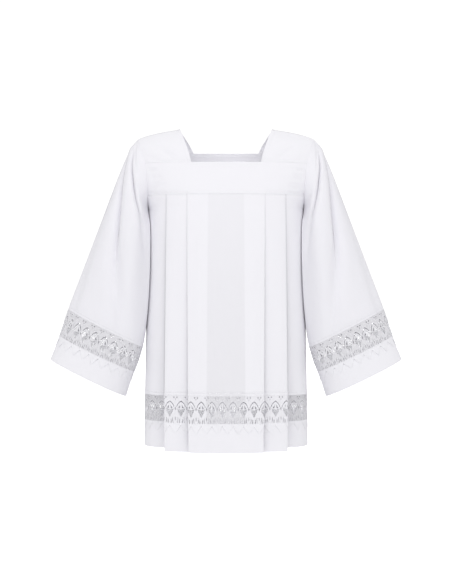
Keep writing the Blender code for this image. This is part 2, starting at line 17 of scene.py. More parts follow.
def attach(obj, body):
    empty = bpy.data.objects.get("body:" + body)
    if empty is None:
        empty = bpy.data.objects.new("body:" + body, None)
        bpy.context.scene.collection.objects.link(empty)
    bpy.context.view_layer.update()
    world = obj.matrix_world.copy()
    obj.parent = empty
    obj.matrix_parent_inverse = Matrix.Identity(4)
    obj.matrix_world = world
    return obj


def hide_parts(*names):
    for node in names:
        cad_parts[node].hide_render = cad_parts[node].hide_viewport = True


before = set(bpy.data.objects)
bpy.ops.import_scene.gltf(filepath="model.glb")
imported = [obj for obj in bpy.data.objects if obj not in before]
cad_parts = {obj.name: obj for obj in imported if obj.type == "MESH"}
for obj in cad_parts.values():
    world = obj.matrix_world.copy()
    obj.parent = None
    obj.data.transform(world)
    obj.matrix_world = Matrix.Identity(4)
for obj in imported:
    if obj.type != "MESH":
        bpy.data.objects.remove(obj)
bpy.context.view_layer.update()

bl_info = {
    "name": "Surplice",
    "version": (1, 0, 0),
    "blender": (4, 5, 0),
    "location": "3D View > Sidebar > Surplice",
    "description": "Makes a pleated white surplice with lace insertions, piece by piece, and a studio stage",
    "category": "Object",
}

BODY = "root"
MM = 0.001
NEARLY_NOTHING = 1e-7


def table_of(kind, *rows):
    """A table whose rows have the kind's named columns."""
    return tuple(kind(*row) for row in rows)


# Gaps between neighbouring pieces
SEAM_GAP = 0.0002
SIDE_SEAM_GAP = 0.0004
LAP = 0.0008
LACE_CLEARANCE = 0.0003
CUT_TOLERANCE = 1e-6

# Heights of the body's edges and seams
NECK_FRONT = -0.0898
NECK_BACK = -0.0490
YOKE_SEAM = -0.1680
UNDERARM = -0.1990
HEADING_TOP = -0.6425
HEADING_HOLES = -0.6450
LACE_TOP = -0.6517
HEM_TOP = -0.7183
HEM = -0.7880

# The square neck: half its width at the front and back corners, and where it crosses the shoulders
NECK_CORNER = {-1: 0.0845, 1: 0.0834}
NECK_EDGE = {-1: NECK_FRONT, 1: NECK_BACK}
NECK_SHOULDER = 0.1145
NECK_FLARE = 1.25
STRAP_LENGTH = 0.21
STRAP_MIDDLE_ROWS = 34
STRAP_MIDDLE_COLUMNS = 18
STRAP_STEP = 0.004
STRAP_END_SHARE = 0.0007
YOKE_HALF_COLUMNS = 72
YOKE_MIDDLE_ROWS = 12
SHOULDER_RISE = 0.0015
EAR_HEIGHT = 0.0022
EAR_LENGTH_SHARE = 0.035
EAR_WIDTH_SHARE = 0.06
NECK_STITCHES_IN = 0.0075
SEAM_STITCHES_IN = 0.0024
STITCH_PATH_STEPS = 60
STITCH_END_SHARE = 0.02
STRAP_SEAM_SHARE = 0.016
NEAR_STITCHES = (0.0, 0.4, 0.75, 0.9, 1.0, 1.1, 1.25, 1.6)

# The armhole, an upright oval that stands on the body's side
ARMHOLE_MIDDLE = -0.1110
ARMHOLE_HALF_HEIGHT = 0.0880
ARMHOLE_HALF_DEPTH = 0.0700

# The body's level sections are superellipses of this power, with half depths to the front and back of x = 0
BODY_POWER = 2.4
BodyLevel = namedtuple("BodyLevel", "height front back")
BODY_DEPTHS = table_of(
    BodyLevel,
    (-0.788, 0.14, 0.124),
    (-0.5, 0.136, 0.12),
    (-0.28, 0.131, 0.116),
    (-0.168, 0.12, 0.106),
    (-0.09, 0.098, 0.09),
    (-0.049, 0.086, 0.076),
    (0.0, 0.07, 0.066),
)
BodyWidth = namedtuple("BodyWidth", "height half_width")
BODY_WIDTHS = table_of(
    BodyWidth,
    (-0.788, 0.205),
    (-0.5, 0.199),
    (-0.28, 0.1945),
    (-0.199, 0.1935),
)
ArmholeEdge = namedtuple("ArmholeEdge", "height x")
ARMHOLE_EDGES = table_of(
    ArmholeEdge,
    (-0.199, 0.1935),
    (-0.168, 0.1915),
    (-0.13, 0.1925),
    (-0.09, 0.196),
    (-0.06, 0.205),
    (-0.023, 0.2175),
)

# The pleats, from the centre line to the side seam. A fold that turns +1 shows outside, and one that turns
# -1 lies behind. Under the yoke the layers are pressed together, and towards the hem they part.
PLEAT_PITCH = 0.0007
PRESS_SOFTNESS = 0.0022
PRESS_HEIGHT = 0.014
HEM_FOLD_RADIUS = 0.0029
Pleat = namedtuple("Pleat", "turn steps yoke_x hem_x yoke_layer hem_depth")
PLEATS = table_of(
    Pleat,
    (+1, 18, 0.0933, 0.091, 0, 0.000),
    (-1, 5, 0.041, 0.045, 1, 0.022),
    (+1, 14, 0.144, 0.152, 2, 0.002),
    (-1, 5, 0.0945, 0.1, 3, 0.06),
    (0, 6, 0.148, 0.154, 4, 0.047),
)
FOLD_STEPS = 6
SIDE_RISE = 1.7
SIDE_STEPS = 14
SHARPEST_TURN = 0.5
HEM_CORNER_LIFT = 0.0022
HEM_CORNER_STEPS = 2.0

# How far the side panels' points stand above or below the rest of their level
SideHang = namedtuple("SideHang", "height rise")
SIDE_HANG = table_of(
    SideHang,
    (-0.788, 0.004),
    (-0.718, -0.001),
    (-0.652, -0.004),
    (-0.45, 0.000),
)
PANEL_ROWS = 36
ROWS_BEHIND_LACE = 4
ROWS_BELOW_LACE = 5
ARMHOLE_ROWS = 7

# Soft creases of the body and yoke, seen from the front or back, from one end to the other. A crease with a
# depth above 0 is a trough, and one below 0 a ridge. side is -1 on the front and +1 on the back.
Crease = namedtuple("Crease", "side x z to_x to_z width depth")
CREASES = table_of(
    Crease,
    # Down the front, between the pleats and over the edges of the layers behind
    (-1, -0.036, -0.29, -0.038, -0.6, 0.006, 0.0011),
    (-1, 0.037, -0.31, 0.035, -0.62, 0.0055, 0.001),
    (-1, 0.002, -0.18, -0.001, -0.54, 0.017, -0.0016),
    (-1, -0.066, -0.21, -0.068, -0.64, 0.012, -0.0012),
    (-1, 0.064, -0.23, 0.067, -0.64, 0.013, -0.0012),
    (-1, -0.134, -0.26, -0.138, -0.64, 0.009, -0.001),
    (-1, 0.133, -0.24, 0.139, -0.66, 0.01, -0.001),
    (-1, 0.004, -0.59, 0.000, -0.76, 0.026, 0.0018),
    # The side panels: a soft roll down the middle, and slack under the arms
    (-1, -0.164, -0.27, -0.168, -0.62, 0.009, -0.002),
    (-1, 0.165, -0.29, 0.168, -0.64, 0.0085, -0.002),
    (-1, -0.188, -0.292, -0.158, -0.262, 0.006, 0.0016),
    (-1, 0.189, -0.3, 0.158, -0.266, 0.0055, 0.0016),
    (-1, -0.188, -0.208, -0.158, -0.178, 0.006, 0.0022),
    (-1, 0.188, -0.206, 0.159, -0.176, 0.006, 0.0022),
    # The ends of the front yoke, drawn in by the armhole seam
    (-1, -0.194, -0.104, -0.16, -0.11, 0.0032, 0.003),
    (-1, 0.194, -0.106, 0.164, -0.108, 0.003, 0.0027),
    (-1, -0.19, -0.128, -0.15, -0.126, 0.005, 0.0024),
    (-1, 0.19, -0.13, 0.156, -0.124, 0.0048, 0.0027),
    (-1, -0.189, -0.15, -0.14, -0.144, 0.0052, 0.0024),
    (-1, 0.189, -0.148, 0.146, -0.147, 0.005, 0.0022),
    # The straps
    (-1, -0.168, -0.05, -0.118, -0.084, 0.005, 0.003),
    (-1, 0.17, -0.048, 0.116, -0.086, 0.0052, 0.003),
    (-1, -0.192, -0.078, -0.16, -0.084, 0.0036, 0.0027),
    (-1, 0.193, -0.08, 0.164, -0.083, 0.0034, 0.0027),
    # Similar ones on the back
    (1, -0.035, -0.26, -0.039, -0.58, 0.006, 0.0011),
    (1, 0.038, -0.33, 0.036, -0.64, 0.006, 0.0012),
    (1, -0.004, -0.19, 0.003, -0.6, 0.018, -0.0017),
    (1, -0.067, -0.25, -0.064, -0.66, 0.013, -0.0013),
    (1, 0.065, -0.22, 0.069, -0.6, 0.012, -0.0012),
    (1, -0.135, -0.23, -0.14, -0.6, 0.01, -0.0011),
    (1, 0.132, -0.28, 0.137, -0.66, 0.0095, -0.001),
    (1, -0.166, -0.3, -0.166, -0.64, 0.009, -0.0018),
    (1, 0.164, -0.26, 0.168, -0.6, 0.009, -0.002),
    (1, -0.188, -0.206, -0.15, -0.182, 0.0062, 0.0021),
    (1, 0.188, -0.21, 0.148, -0.178, 0.006, 0.0023),
    (1, -0.188, -0.296, -0.15, -0.256, 0.0064, 0.0015),
    (1, 0.188, -0.286, 0.154, -0.262, 0.0058, 0.0016),
    (1, -0.192, -0.098, -0.14, -0.112, 0.005, 0.003),
    (1, 0.192, -0.094, 0.146, -0.106, 0.0052, 0.0027),
    (1, -0.19, -0.142, -0.146, -0.136, 0.0048, 0.0024),
    (1, 0.19, -0.138, 0.138, -0.14, 0.005, 0.0027),
)
CREASE_END_SHARE = 0.35

# The sleeve, from the armhole (station 0) over the lace (7 to 8) to its end (9). Outer and inner are the ends
# of each oval section, seen from the front.
SLEEVE_POWER = 2.2
SLEEVE_COLUMNS = 192
SLEEVE_STATION_STEP = 0.14
SLEEVE_LAST_ROW_UP = 0.03
HEADING_TURN_SHARE = 0.3
DOWN_STEP = 0.1
SLEEVE_HEM_ROWS = 8
SLEEVE_LACE_TOP = 7
SLEEVE_HEM_TOP = 8
SLEEVE_END = 9
Station = namedtuple("Station", "outer_x outer_z inner_x inner_z inner_y half_depth")
SLEEVE = table_of(
    Station,
    (0.2175, -0.023, 0.1935, -0.199, 0.000, 0.07),
    (0.2285, -0.0345, 0.193, -0.204, -0.004, 0.071),
    (0.24, -0.049, 0.1925, -0.21, -0.01, 0.071),
    (0.255, -0.084, 0.191, -0.22, -0.02, 0.071),
    (0.2838, -0.159, 0.187, -0.242, -0.034, 0.07),
    (0.32, -0.254, 0.1862, -0.32, -0.042, 0.068),
    (0.3563, -0.349, 0.1903, -0.4237, -0.038, 0.066),
    (0.3935, -0.4465, 0.206, -0.54, -0.024, 0.063),
    (0.4185, -0.519, 0.23, -0.6075, -0.014, 0.061),
    (0.4393, -0.571, 0.248, -0.663, -0.01, 0.06),
)
ARMHOLE_BLEND = 2.5
ARMHOLE_GAP_TOP = 0.0004
ARMHOLE_GAP_LOW = 0.0006
SLEEVE_CLEARANCE = 0.0010

# Below the arm each sleeve's front leans in over the body's side and lies flatter beside it
Lean = namedtuple("Lean", "station inward back")
SLEEVE_LEAN = table_of(
    Lean,
    (0.0, 0.0000, 0.000),
    (0.5, 0.001, 0.004),
    (1.8, 0.002, 0.009),
    (3.0, 0.0025, 0.013),
    (5.0, 0.003, 0.015),
    (6.0, 0.002, 0.01),
    (7.0, 0.0000, 0.000),
)
LEAN_ANGLE = 161.0
LEAN_WIDTH = 22.0
FLAT_ANGLE = 146.0
FLAT_WIDTH = 22.0
ALLOWANCE = 0.005
ALLOWANCE_SHARE = 0.982
TUBE_SEAM = 0.0006
SLEEVE_STITCH_STATIONS = 0.02
SLEEVE_SEAM_STATIONS = 0.0015
SLEEVE_HEADING_STATIONS = 0.083
SLEEVE_HOLE_STATIONS = 0.066

# The folds that fall from the shoulder down each sleeve, as troughs. Angles are degrees round the section
# from its outer end over the front, and a fold fades where its depth is 0.
SleeveFold = namedtuple("SleeveFold", "station angle depth width")
SLEEVE_FOLDS = (
    # The long front fold: a wide trough with a sharper crease in it
    table_of(
        SleeveFold,
        (2.0, 10, 0.000, 16),
        (3.0, 27, 0.006, 15),
        (4.0, 58, 0.009, 14),
        (5.0, 78, 0.01, 14),
        (6.0, 96, 0.009, 13),
        (7.0, 117, 0.005, 13),
        (8.0, 122, 0.000, 13),
    ),
    table_of(
        SleeveFold,
        (2.0, 12, 0.000, 4),
        (3.0, 27, 0.009, 4),
        (4.0, 58, 0.013, 5),
        (5.0, 78, 0.012, 5),
        (6.0, 96, 0.006, 7),
        (6.8, 113, 0.000, 7),
    ),
    # The short front fold by the body
    table_of(
        SleeveFold,
        (1.0, 30, 0.000, 16),
        (2.0, 53, 0.004, 15),
        (3.0, 88, 0.006, 15),
        (4.0, 124, 0.002, 14),
        (5.0, 143, 0.000, 14),
        (6.0, 150, 0.000, 14),
    ),
    table_of(
        SleeveFold,
        (1.2, 34, 0.000, 4),
        (2.0, 53, 0.008, 4),
        (3.0, 88, 0.011, 4),
        (4.0, 124, 0.008, 5),
        (5.2, 145, 0.000, 6),
    ),
    # A short dent below the shoulder's seam
    table_of(
        SleeveFold,
        (0.3, 22, 0.000, 6),
        (0.9, 36, 0.003, 6),
        (1.6, 62, 0.003, 7),
        (2.1, 80, 0.000, 8),
    ),
    # A soft hollow along the outer edge, low on the sleeve
    table_of(
        SleeveFold,
        (4.2, 22, 0.000, 10),
        (5.6, 25, 0.003, 11),
        (6.6, 30, 0.005, 12),
        (7.8, 34, 0.000, 12),
    ),
    # The back of the sleeve
    table_of(
        SleeveFold,
        (2.0, -16, 0.000, 16),
        (3.5, -46, 0.008, 15),
        (5.0, -88, 0.01, 15),
        (6.5, -112, 0.006, 14),
        (7.8, -122, 0.000, 13),
    ),
    table_of(
        SleeveFold,
        (2.3, -20, 0.000, 4),
        (3.5, -46, 0.01, 5),
        (5.0, -88, 0.01, 5),
        (6.4, -110, 0.000, 7),
    ),
    table_of(
        SleeveFold,
        (1.0, -40, 0.000, 16),
        (2.5, -84, 0.007, 14),
        (4.5, -134, 0.006, 14),
        (5.5, -142, 0.000, 14),
    ),
    table_of(
        SleeveFold,
        (5.0, -30, 0.000, 12),
        (6.2, -38, 0.004, 12),
        (7.6, -44, 0.000, 12),
    ),
)

# The lace: its height with the points of its lower edge, and how many repeats lie between its middle and
# each fold, to the wearer's right (below 0) and left
LACE_HEIGHT = 0.0910
LACE_POINT = 0.0195
LACE_REPEAT = 0.0255
CORNER_MARGIN = 0.15
LaceCount = namedtuple("LaceCount", "right left")
FRONT_COUNTS = table_of(
    LaceCount,
    (-3.36, 4.04),
    (-5.6, 6.15),
    (-9.6, 10.23),
    (-12.3, 12.95),
    (-18.2, 18.85),
)
BACK_COUNTS = table_of(
    LaceCount,
    (-2.86, 4.54),
    (-4.96, 6.64),
    (-9.26, 10.94),
    (-11.86, 13.54),
    (-17.76, 19.44),
)


def mix(a, b, share):
    return a + (b - a) * share


def smooth_step(share):
    share = min(1.0, max(0.0, share))
    return share * share * (3 - 2 * share)


def signed_power(value, power):
    return math.copysign(abs(value) ** power, value)


def bump(distance, width):
    """A soft bell, 1 at its middle."""
    return math.exp(-((distance / width) ** 2))


@functools.lru_cache(maxsize=None)
def columns_of(table, key_name, value_name):
    return [getattr(row, key_name) for row in table], [getattr(row, value_name) for row in table]


def read_table(keys, values, key):
    """The value at a key, on a smooth curve through a table's rows, whose keys rise."""
    last = len(keys) - 1
    if key <= keys[0] or key >= keys[last]:
        return values[0] if key <= keys[0] else values[last]
    i = bisect.bisect_right(keys, key) - 1

    def slope(n):
        before, after = max(n - 1, 0), min(n + 1, last)
        return (values[after] - values[before]) / (keys[after] - keys[before])

    step = keys[i + 1] - keys[i]
    t = (key - keys[i]) / step
    return (
        (2 * t**3 - 3 * t**2 + 1) * values[i]
        + (t**3 - 2 * t**2 + t) * step * slope(i)
        + (3 * t**2 - 2 * t**3) * values[i + 1]
        + (t**3 - t**2) * step * slope(i + 1)
    )


def column(table, key_name, value_name, key):
    """One named column of a table whose rows rise, read at a key of another."""
    keys, values = columns_of(table, key_name, value_name)
    return read_table(keys, values, key)


@functools.lru_cache(maxsize=None)
def half_depth(height, side):
    """Half the body's depth at a height, to the front (side -1) or the back (side +1)."""
    return column(BODY_DEPTHS, "height", "front" if side < 0 else "back", height)


@functools.lru_cache(maxsize=None)
def armhole_edge(height):
    """(x, depth) of the armhole's edge at a height between its lowest and highest points."""
    share = min(1.0, max(-1.0, (height - ARMHOLE_MIDDLE) / ARMHOLE_HALF_HEIGHT))
    depth = ARMHOLE_HALF_DEPTH * math.sqrt(1 - share * share)
    return column(ARMHOLE_EDGES, "height", "x", height), depth


@functools.lru_cache(maxsize=None)
def half_width(height, side):
    """The body's half width. Above the underarm, the section runs through the armhole's edge."""
    if height <= UNDERARM:
        return column(BODY_WIDTHS, "height", "half_width", height)
    x, depth = armhole_edge(height)
    share = (depth / half_depth(height, side)) ** BODY_POWER
    return x / (1 - share) ** (1 / BODY_POWER)


def body_side_x(depth, height):
    """How far out the body's side stands at a depth (y) and a height."""
    side = -1 if depth < 0 else 1
    share = min(1.0, abs(depth) / half_depth(height, side)) ** BODY_POWER
    return half_width(height, side) * (1 - share) ** (1 / BODY_POWER)


def section_angle(x, height, side):
    """The section's parameter at x: 0 on the centre line, a quarter turn at the side seam."""
    share = min(1.0, max(0.0, x) / half_width(height, side))
    return math.asin(share ** (BODY_POWER / 2))


def section_end(height, side):
    """The parameter where the cloth ends: at the armhole, or at the side seam below the underarm."""
    if height <= UNDERARM:
        return math.pi / 2
    return section_angle(armhole_edge(height)[0], height, side)


def section_point(angle, depth_in, height, side):
    """A point of the level section, moved in from it by a depth along its normal."""
    a, b = half_width(height, side), half_depth(height, side)
    across = max(0.0, math.sin(angle)) ** (2 / BODY_POWER)
    along = max(0.0, math.cos(angle)) ** (2 / BODY_POWER)
    normal = Vector((across ** (BODY_POWER - 1) / a, along ** (BODY_POWER - 1) / b)).normalized()
    x = a * across - normal.x * depth_in
    y = b * along - normal.y * depth_in
    return Vector((x, side * y))


def crease_depth(x, z, side):
    """How far the creases push the body or yoke in, at a point seen from the front or back."""
    pushed = 0.0
    for crease in CREASES:
        if crease.side != side:
            continue
        run_x, run_z = crease.to_x - crease.x, crease.to_z - crease.z
        length = math.hypot(run_x, run_z)
        off_x, off_z = x - crease.x, z - crease.z
        along = (off_x * run_x + off_z * run_z) / length**2
        if not 0 < along < 1:
            continue
        beside = (off_x * run_z - off_z * run_x) / length
        fade = smooth_step(along / CREASE_END_SHARE) * smooth_step((1 - along) / CREASE_END_SHARE)
        pushed += crease.depth * fade * bump(beside, crease.width)
    return pushed * bpy.context.scene.surplice_cloth.crease_strength


def quarter_path(height, side, hand, behind=0.0):
    """The cloth's path from the centre line to the side, through the pleats, on one hand."""
    opening = max(0.0, (YOKE_SEAM - height) / (YOKE_SEAM - HEM))
    radius = mix(PLEAT_PITCH / 2, HEM_FOLD_RADIUS, opening)

    def at_x(x, depth_in):
        pushed = crease_depth(hand * x, height, side)
        return section_point(section_angle(x, height, side), depth_in + pushed + behind, height, side)

    x, depth_in = 0.0, 0.0
    points = [at_x(x, depth_in)]
    for pleat in PLEATS:
        fold_x = mix(pleat.yoke_x, pleat.hem_x, opening)
        fold_depth = mix(pleat.yoke_layer * PLEAT_PITCH, pleat.hem_depth, opening)
        run_end = fold_x - pleat.turn * radius
        for step in range(1, pleat.steps + 1):
            share = step / pleat.steps
            points.append(at_x(mix(x, run_end, share), mix(depth_in, fold_depth, share)))
        x, depth_in = run_end, fold_depth
        if pleat.turn:
            for step in range(1, FOLD_STEPS + 1):
                turned = math.pi * step / FOLD_STEPS
                fold_out = x + pleat.turn * radius * math.sin(turned)
                points.append(at_x(fold_out, fold_depth + radius * (1 - math.cos(turned))))
            depth_in = fold_depth + 2 * radius
    start, end = section_angle(x, height, side), section_end(height, side)
    for step in range(1, SIDE_STEPS + 1):
        share = step / SIDE_STEPS
        angle = mix(start, end, share)
        side_x = section_point(angle, 0.0, height, side).x
        pushed = crease_depth(hand * side_x, height, side) * (1 - share)
        recess = depth_in * (1 - share) ** SIDE_RISE
        points.append(section_point(angle, recess + pushed + behind, height, side))
    return points


def fold_columns():
    """The columns at each fold's middle, from the centre line out, and the last one, at the side seam."""
    found, number = [], 0
    for pleat in PLEATS:
        number += pleat.steps
        if pleat.turn:
            found.append(number + FOLD_STEPS // 2)
            number += FOLD_STEPS
    return found + [number + SIDE_STEPS]


def moved_out(path, distance):
    """A level path moved sideways, to its right, with the same distance kept at its corners."""
    moved = []
    for i, point in enumerate(path):
        before = (point - path[i - 1]).normalized() if i else None
        after = (path[i + 1] - point).normalized() if i + 1 < len(path) else before
        before = before or after
        direction = (before + after).normalized()
        turned = Vector((direction.y, -direction.x))
        moved.append(point + turned * distance / max(SHARPEST_TURN, direction.dot(after)))
    return moved


def body_row(height, side, out=0.0, corner_lift=0.0, behind=0.0):
    """The pleated path of the front or back at a height, from the wearer's right to left, moved out from its
    own face or all of it behind."""
    right, left = quarter_path(height, side, -1, behind), quarter_path(height, side, 1, behind)
    path = [Vector((-p.x, p.y)) for p in reversed(right[1:])] + left
    path = moved_out(path, -side * out) if out else path
    if height <= UNDERARM:
        path[0].y = path[-1].y = side * SIDE_SEAM_GAP / 2
    rise = column(SIDE_HANG, "height", "rise", height)
    hidden, last = PLEATS[-2].steps + PLEATS[-1].steps, len(path) - 1
    middle, folds = len(path) // 2, fold_columns()
    row = []
    for i, point in enumerate(path):
        from_side = min(i, last - i) - SIDE_STEPS
        z = height + rise * (1 - smooth_step(from_side / hidden))
        from_fold = min(abs(abs(i - middle) - fold) for fold in folds)
        row.append(Vector((point.x, point.y, z + corner_lift * bump(from_fold, HEM_CORNER_STEPS))))
    return row


def running_lengths(points):
    lengths = [0.0]
    for before, after in zip(points, points[1:]):
        lengths.append(lengths[-1] + (after - before).length)
    return lengths


def link_mesh(name, points, faces, material):
    """A new smooth piece that rides on the body."""
    mesh = bpy.data.meshes.new(name)
    mesh.from_pydata([tuple(p) for p in points], [], faces)
    mesh.materials.append(material)
    mesh.shade_smooth()
    piece = bpy.data.objects.new(name, mesh)
    bpy.context.scene.collection.objects.link(piece)
    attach(piece, BODY)
    return piece


def lay_flat_map(piece, places):
    """Gives a piece its cloth coordinates: where each of its points lies on the flat cloth, in metres."""
    layer = piece.data.uv_layers.new(name="cloth")
    for loop in piece.data.loops:
        layer.data[loop.index].uv = places[loop.vertex_index]


def give_wall(piece, thickness, even=True):
    """Turns a surface's faces one way and gives it its thickness to both sides, with sharp cut edges."""
    shape = bmesh.new()
    shape.from_mesh(piece.data)
    bmesh.ops.recalc_face_normals(shape, faces=shape.faces)
    for edge in shape.edges:
        edge.smooth = not edge.is_boundary
    shape.to_mesh(piece.data)
    shape.free()
    wall = piece.modifiers.new("wall", "SOLIDIFY")
    wall.thickness = thickness
    wall.offset = 0.0
    wall.use_even_offset = even
    wall.use_quality_normals = True


def grid_faces(rows, columns, closed=False):
    """Faces between neighbouring rows of points, and from the last column to the first if closed."""
    faces = []
    for r in range(rows - 1):
        for c in range(columns if closed else columns - 1):
            n = (c + 1) % columns
            faces.append((r * columns + c, r * columns + n, (r + 1) * columns + n, (r + 1) * columns + c))
    return faces


def sheet_from_rows(node, rows, thickness, material, closed=False, extra=None):
    """A piece of plain cloth on rows of points, named after the node that it stands for, with its flat cut.
    extra is a strip along its lower edge, as points, faces and flat places."""
    columns = len(rows[0])
    points = [point for row in rows for point in row]
    faces = grid_faces(len(rows), columns, closed)
    down = running_lengths([row[columns // 2] for row in rows])
    across = [running_lengths(row) for row in rows]
    places = [(across[r][c], -down[r]) for r in range(len(rows)) for c in range(columns)]
    height_left = 0.0
    if extra:
        strip_points, strip_faces, strip_places, height_left = extra
        start = len(points)
        points += strip_points
        faces += [tuple(start + i for i in face) for face in strip_faces]
        places += [(u, v - down[-1]) for u, v in strip_places]
    piece = link_mesh(node + "_cloth", points, faces, material)
    lay_flat_map(piece, places)
    give_wall(piece, thickness)
    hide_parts(node)


def groove(distance):
    """The dent that a row of stitches draws in cloth, at a distance from it."""
    cloth = bpy.context.scene.surplice_cloth
    return cloth.groove_depth * bump(distance, cloth.groove_width)


def edge_spacing(length, from_start, from_end, middle_steps):
    """Places along a length with close steps round a row of stitches near each end."""
    places = [from_start * share for share in NEAR_STITCHES] if from_start else [0.0]
    ends = [length - from_end * share for share in reversed(NEAR_STITCHES)] if from_end else [length]
    first, last = places[-1], ends[0]
    between = [mix(first, last, n / middle_steps) for n in range(1, middle_steps)]
    return places + between + ends


def pressed_in(x):
    """How deep the pleats' outer layer lies behind the yoke's line at the seam."""
    depth = 0.0
    for pleat in PLEATS[:3:2]:
        past = (abs(x) - pleat.yoke_x) / PRESS_SOFTNESS
        depth += 2 * PLEAT_PITCH * smooth_step(past / 2 + 0.5)
    return depth


def yoke_band(node, side, material):
    """A yoke band, level at its top and bottom, from armhole to armhole."""
    bottom = YOKE_SEAM + SEAM_GAP / 2
    top = NECK_EDGE[side] - SEAM_GAP / 2
    rows = []
    for down in edge_spacing(top - bottom, NECK_STITCHES_IN, SEAM_STITCHES_IN, YOKE_MIDDLE_ROWS):
        height = top - down
        dent = groove(down - NECK_STITCHES_IN) + groove(height - bottom - SEAM_STITCHES_IN)
        end = section_end(height, side)
        row = []
        for c in range(-YOKE_HALF_COLUMNS, YOKE_HALF_COLUMNS + 1):
            angle = end * c / YOKE_HALF_COLUMNS
            x = math.copysign(section_point(abs(angle), 0.0, height, side).x, angle)
            at_neck = abs(x) < NECK_CORNER[side] or down > NECK_STITCHES_IN * 2
            pressed = pressed_in(x) * (1 - smooth_step((height - bottom) / PRESS_HEIGHT))
            depth_in = crease_depth(x, height, side) + (dent if at_neck else 0.0) + pressed
            point = section_point(abs(angle), depth_in, height, side)
            row.append(Vector((math.copysign(point.x, angle), point.y, height)))
        rows.append(row)
    thickness = bpy.context.scene.surplice_cloth.yoke_thickness
    sheet_from_rows(node, rows, thickness, material)


def neck_side(share):
    """The neck's side edge on the wearer's left: share 0 at the front corner and 1 at the back corner."""
    side = -1 if share < 0.5 else 1
    corner_x, corner_z = NECK_CORNER[side], NECK_EDGE[side]
    corner = section_point(section_angle(corner_x, corner_z, side), 0.0, corner_z, side)
    rise = math.sin(share * math.pi)
    x = mix(corner_x, NECK_SHOULDER, rise**NECK_FLARE)
    return Vector((x, corner.y * abs(math.cos(share * math.pi)), corner_z * (1 - rise)))


def armhole_point(angle):
    """The armhole's edge on the wearer's left, at an angle from its top over the front."""
    height = ARMHOLE_MIDDLE + ARMHOLE_HALF_HEIGHT * math.cos(angle)
    return Vector((armhole_edge(height)[0], -ARMHOLE_HALF_DEPTH * math.sin(angle), height))


def strap_point(along, across):
    """A point of the left strap: along from its front seam to its back seam, across from neck to armhole."""

    def armhole_angle(height):
        return math.acos((height - ARMHOLE_MIDDLE) / ARMHOLE_HALF_HEIGHT)

    first, last = armhole_angle(NECK_FRONT), -armhole_angle(NECK_BACK)

    def edge_arc(height, side):
        start, end = section_angle(NECK_CORNER[side], height, side), section_end(height, side)
        point = section_point(mix(start, end, across), 0.0, height, side)
        return Vector((point.x, point.y, height))

    def arm_side(share):
        angle = mix(first, 0.0, share * 2) if share < 0.5 else mix(0.0, last, share * 2 - 1)
        return armhole_point(angle)

    ruled = mix(neck_side(along), arm_side(along), across)
    ends = mix(edge_arc(NECK_FRONT, -1), edge_arc(NECK_BACK, 1), along)
    corners = mix(mix(neck_side(0), arm_side(0), across), mix(neck_side(1), arm_side(1), across), along)
    point = ruled + ends - corners
    point.z += SHOULDER_RISE * 4 * across * (1 - across) * math.sin(math.pi * along)
    point.z += EAR_HEIGHT * bump(along - 0.5, EAR_LENGTH_SHARE) * bump(across, EAR_WIDTH_SHARE)
    return point


def strap_frame(along, across, hand):
    """(point, outward normal) of a strap, with its creases."""
    low_a, high_a = max(STRAP_END_SHARE, along - STRAP_STEP), min(1 - STRAP_END_SHARE, along + STRAP_STEP)
    low_c, high_c = max(0.0, across - STRAP_STEP), min(1.0, across + STRAP_STEP)
    lengthwise = strap_point(high_a, across) - strap_point(low_a, across)
    sideways = strap_point(along, high_c) - strap_point(along, low_c)
    normal = sideways.cross(lengthwise).normalized()
    point = strap_point(along, across)
    side = -1 if along < 0.5 else 1
    point -= normal * crease_depth(hand * point.x, point.z, side) * abs(math.cos(along * math.pi))
    return point, normal


def strap_width():
    """The strap's width on the shoulder, from the neck to the armhole."""
    return armhole_edge(ARMHOLE_MIDDLE + ARMHOLE_HALF_HEIGHT)[0] - NECK_SHOULDER


def shoulder_strap(node, hand, material):
    """A yoke strap, from the front band over the shoulder to the back band."""
    cloth = bpy.context.scene.surplice_cloth
    width = strap_width()
    ends = edge_spacing(STRAP_LENGTH, SEAM_STITCHES_IN, SEAM_STITCHES_IN, STRAP_MIDDLE_ROWS)
    alongs = [s / STRAP_LENGTH for s in ends]
    acrosses = [s / width for s in edge_spacing(width, NECK_STITCHES_IN, 0.0, STRAP_MIDDLE_COLUMNS)]
    rows = []
    for share in alongs:
        along = mix(STRAP_END_SHARE, 1 - STRAP_END_SHARE, share)
        row = []
        for across in acrosses:
            point, normal = strap_frame(along, across, hand)
            from_end = min(share, 1 - share) * STRAP_LENGTH
            dent = groove(across * width - NECK_STITCHES_IN) + groove(from_end - SEAM_STITCHES_IN)
            point = point - normal * dent
            row.append(Vector((hand * point.x, point.y, point.z)))
        rows.append(row)
    sheet_from_rows(node, rows, cloth.yoke_thickness, material)


